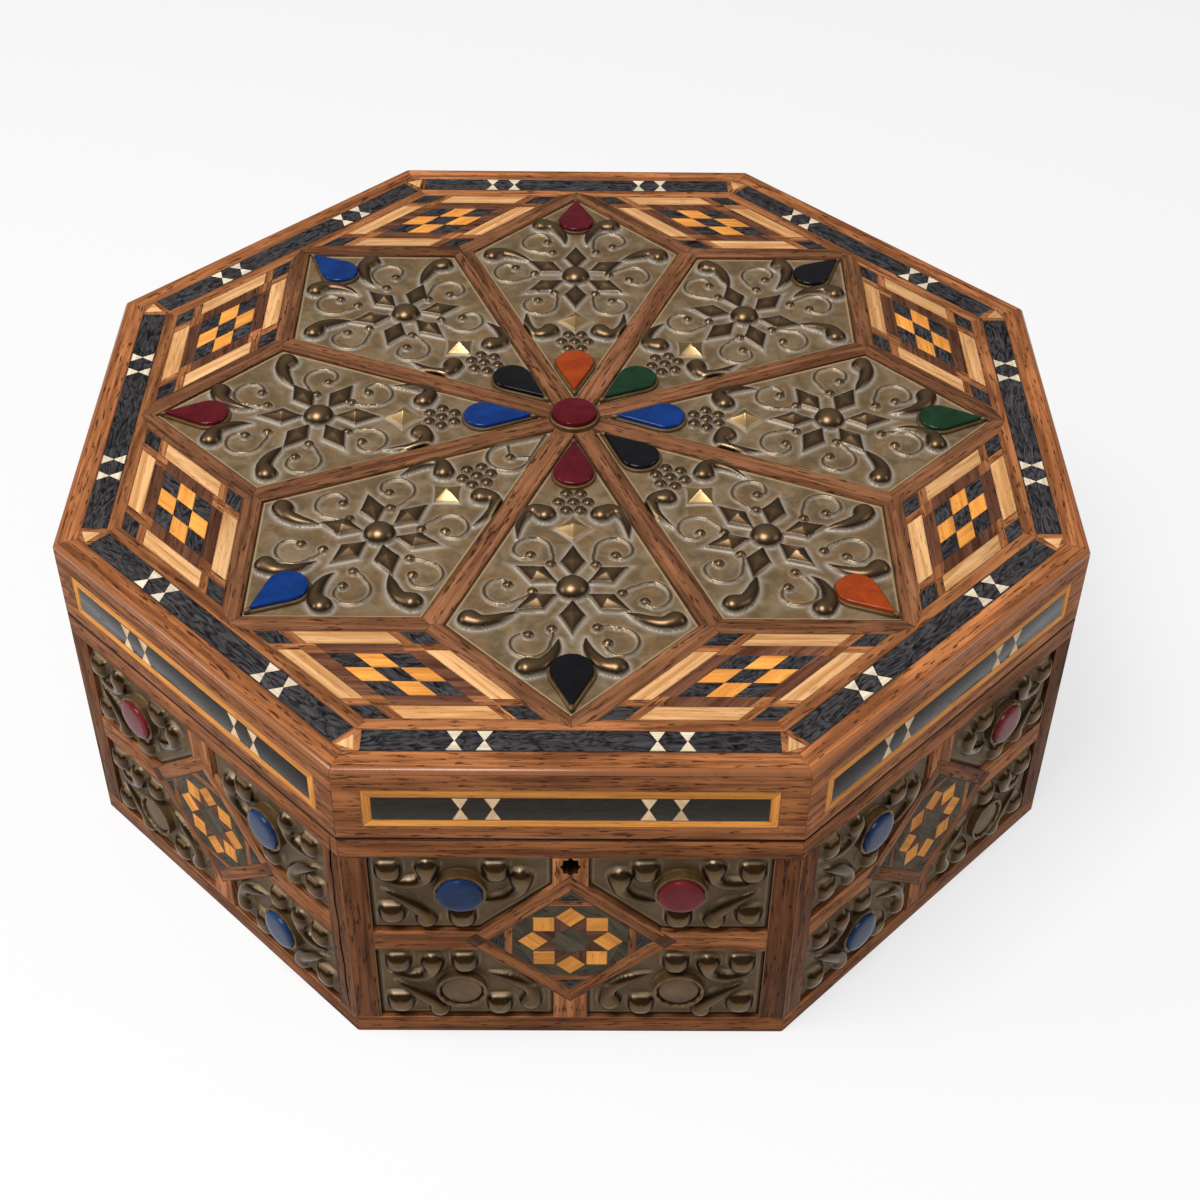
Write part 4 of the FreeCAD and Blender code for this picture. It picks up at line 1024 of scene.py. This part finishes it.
flatStand = Matrix(((0, 1, 0, 0), (-1, 0, 0, 0), (0, 0, 1, 0), (0, 0, 0, 1)))
lidGems = {colour: bmesh.new() for colour in stones}
seats = bmesh.new()
for side in range(8):
    placing = turned(side) @ flatStand
    pair = ((outerDrops[side], kite["outerDrop"], 1), (innerDrops[side], kite["innerDrop"], -1))
    for colour, (middle, length, width), way in pair:
        if colour is None:
            continue
        margin = drop["seatMargin"]
        tipMargin = margin * (length / width * 2 - 1)  # the same rim all round, drawn out at the tip
        seatMiddle = middle + way * (tipMargin - margin) / 2
        seat = dropSolid(seatMiddle, length + tipMargin + margin, width + margin * 2, way,
                         drop["seatBase"], drop["seatTop"], drop["lip"])
        addTo(seats, seat, placing)
        gem = dropSolid(middle, length, width, way, drop["stoneBase"], drop["stoneTop"], drop["round"])
        addTo(lidGems[colour], gem, placing)
        clawLong, clawRadius, clawHeight = drop["claw"]
        tip = Matrix.Translation(((middle + way * (length / 2 + 0.4)) * mm, 0, clawHeight * mm))
        claw = placing @ tip @ Matrix.Diagonal((clawLong, 1.0, 1.0, 1.0))
        bmesh.ops.create_uvsphere(seats, u_segments=12, v_segments=8, radius=clawRadius * mm, matrix=claw)
centre = {
    "seat": [(10.6, 146.9), (10.7, 148.9), (10.5, 150.4), (10.0, 150.8), (9.5, 150.6), (9.3, 149.8),
             (0.0, 149.8)],
    "stone": [(9.2, 149.6), (9.3, 151.3), (9.0, 152.1), (8.3, 152.5), (6.5, 152.7), (3.0, 152.8),
              (0.0, 152.8)],
    "steps": 56,
}
lathe(seats, centre["seat"], centre["steps"], Matrix.Identity(4))
lathe(lidGems["red"], centre["stone"], centre["steps"], Matrix.Identity(4))
addPiece("stone_bezels", seats, bronzeCollar, "lid", "bronze", ["lid_stone_seats"])
for colour, bm in lidGems.items():
    addPiece("lid_drops_" + colour, bm, stones[colour], "lid", "stone_" + colour, ["lid_stones_" + colour])
print("lid stones set")

# hinges, lock and nails keep their solids with a softened edge
metalwork = {
    "hinge_leaves_body": (brass, "brass", "body"), "hinge_leaves_lid": (brass, "brass", "lid"),
    "hinge_pins": (steel, "steel", "body"), "body_nails": (brass, "brass", "body"),
    "lid_nails": (brass, "brass", "lid"), "lock_case": (brass, "brass", "body"),
    "lock_cover": (brass, "brass", "body"), "lock_spring": (steel, "steel", "body"),
    "lock_bolt": (steel, "steel", "lock_bolt"), "lid_catch": (brass, "brass", "lid"),
}
hinge = {"place": 48.0, "knuckle": 40.0 / 3, "air": 0.1, "near": 0.01}


def clearKnuckles(bm):  # the lid's knuckles stand a hair clear of their neighbours
    for v in bm.verts:
        way = abs(v.co.x) / mm - hinge["place"]
        if abs(abs(way) - hinge["knuckle"] / 2) < hinge["near"]:
            v.co.x -= math.copysign(hinge["air"] * mm, v.co.x * way)


for name, (material, slot, body) in metalwork.items():
    bm = cadCopy(name)
    if name == "hinge_leaves_lid":
        clearKnuckles(bm)
    softenEdges(bm, 0.15)
    addPiece(name + "_metal", bm, material, body, slot, [name])
print("metalwork dressed")


# studio: white floor, a soft lamp high in front and a low fill on each side
studio = {
    "floor": tint(0.76, 0.76, 0.755), "floorSpeck": tint(0.75, 0.75, 0.745), "sky": tint(0.50, 0.50, 0.51),
    "horizon": tint(0.13, 0.128, 0.125), "skyStrength": 0.7, "whiteShare": 0.7}
bm = bmesh.new()
bmesh.ops.create_grid(bm, x_segments=1, y_segments=1, size=6.0)
floorMesh = bpy.data.meshes.new("floor")
bm.to_mesh(floorMesh)
bm.free()
material, start = newFinish("floor_paint")
speck = start.inMillimetres().noise(40.0)
paint = start.node("BsdfDiffuse", None, {"Color": speck.mix(studio["floor"], studio["floorSpeck"])})
seen = start.node("LightPath", None, None, "Is Camera Ray")
seen = seen.most(seen.other("Is Glossy Ray")).most(seen.other("Is Transmission Ray"))
white = start.node("Emission", None, {"Color": tint(1, 1, 1), "Strength": 1.0})
finish = start.node("MixShader", None, {0: seen * studio["whiteShare"], 1: paint, 2: white})
closeTree(start, finish, "Material")
floorMesh.materials.append(material)
floor = bpy.data.objects.new("floor", floorMesh)
bpy.context.scene.collection.objects.link(floor)

world = bpy.data.worlds.new("studio")
bpy.context.scene.world = world
world.use_nodes = True
world.node_tree.nodes.clear()
start = Wire(world.node_tree)
rise = start.node("SeparateXYZ", None, {0: start.node("TexCoord", None, None, "Generated")}, 2)
sky = rise.step(-0.1, 0.9).mix(studio["horizon"], studio["sky"])
glow = start.node("Background", None, {"Color": sky, "Strength": studio["skyStrength"]})
white = start.node("Background", None, {"Color": tint(1, 1, 1), "Strength": 1.0})
seen = start.node("LightPath", None, None, "Is Camera Ray")
closeTree(start, start.node("MixShader", None, {0: seen, 1: glow, 2: white}), "World")

lamps = {  # place, aimed at, size, watts
    "key": ((-0.45, -0.5, 1.75), (0.0, 0.0, 0.1), 0.8, 30.0),
    "left_fill": ((-1.5, -0.1, 1.0), (0.0, -0.05, 0.08), 0.7, 8.0),
    "right_fill": ((1.5, -0.1, 1.0), (0.0, -0.05, 0.08), 0.7, 4.0),
}
for name, (spot, aim, size, watts) in lamps.items():
    data = bpy.data.lights.new(name, "AREA")
    data.shape, data.size, data.energy = "SQUARE", size, watts
    lamp = bpy.data.objects.new(name, data)
    lamp.location = spot
    lamp.rotation_euler = (Vector(aim) - Vector(spot)).to_track_quat("-Z", "Y").to_euler()
    bpy.context.scene.collection.objects.link(lamp)

view = {
    "elevation": 42.24, "azimuth": -0.786, "roll": 0.859, "target": (12.54, 50.94, 0.0), "distance": 971.0,
    "lens": 60.2}
up, turn, tilt = (math.radians(view[key]) for key in ("elevation", "azimuth", "roll"))
back = Vector((math.sin(turn) * math.cos(up), -math.cos(turn) * math.cos(up), math.sin(up)))
right = Vector((math.cos(turn), math.sin(turn), 0))
high = back.cross(right)
right, high = right * math.cos(tilt) + high * math.sin(tilt), high * math.cos(tilt) - right * math.sin(tilt)
eye = Vector(view["target"]) * mm + back * view["distance"] * mm
cameraData = bpy.data.cameras.new("camera")
cameraData.lens, cameraData.sensor_width = view["lens"], 36.0
cameraData.clip_start, cameraData.clip_end = 0.01, 50.0
camera = bpy.data.objects.new("camera", cameraData)
camera.matrix_world = Matrix.LocRotScale(eye, Matrix((right, high, back)).transposed(), None)
bpy.context.scene.collection.objects.link(camera)
bpy.context.scene.camera = camera
bpy.context.scene.view_settings.view_transform = "Standard"
print("studio ready")

bpy.context.view_layer.update()
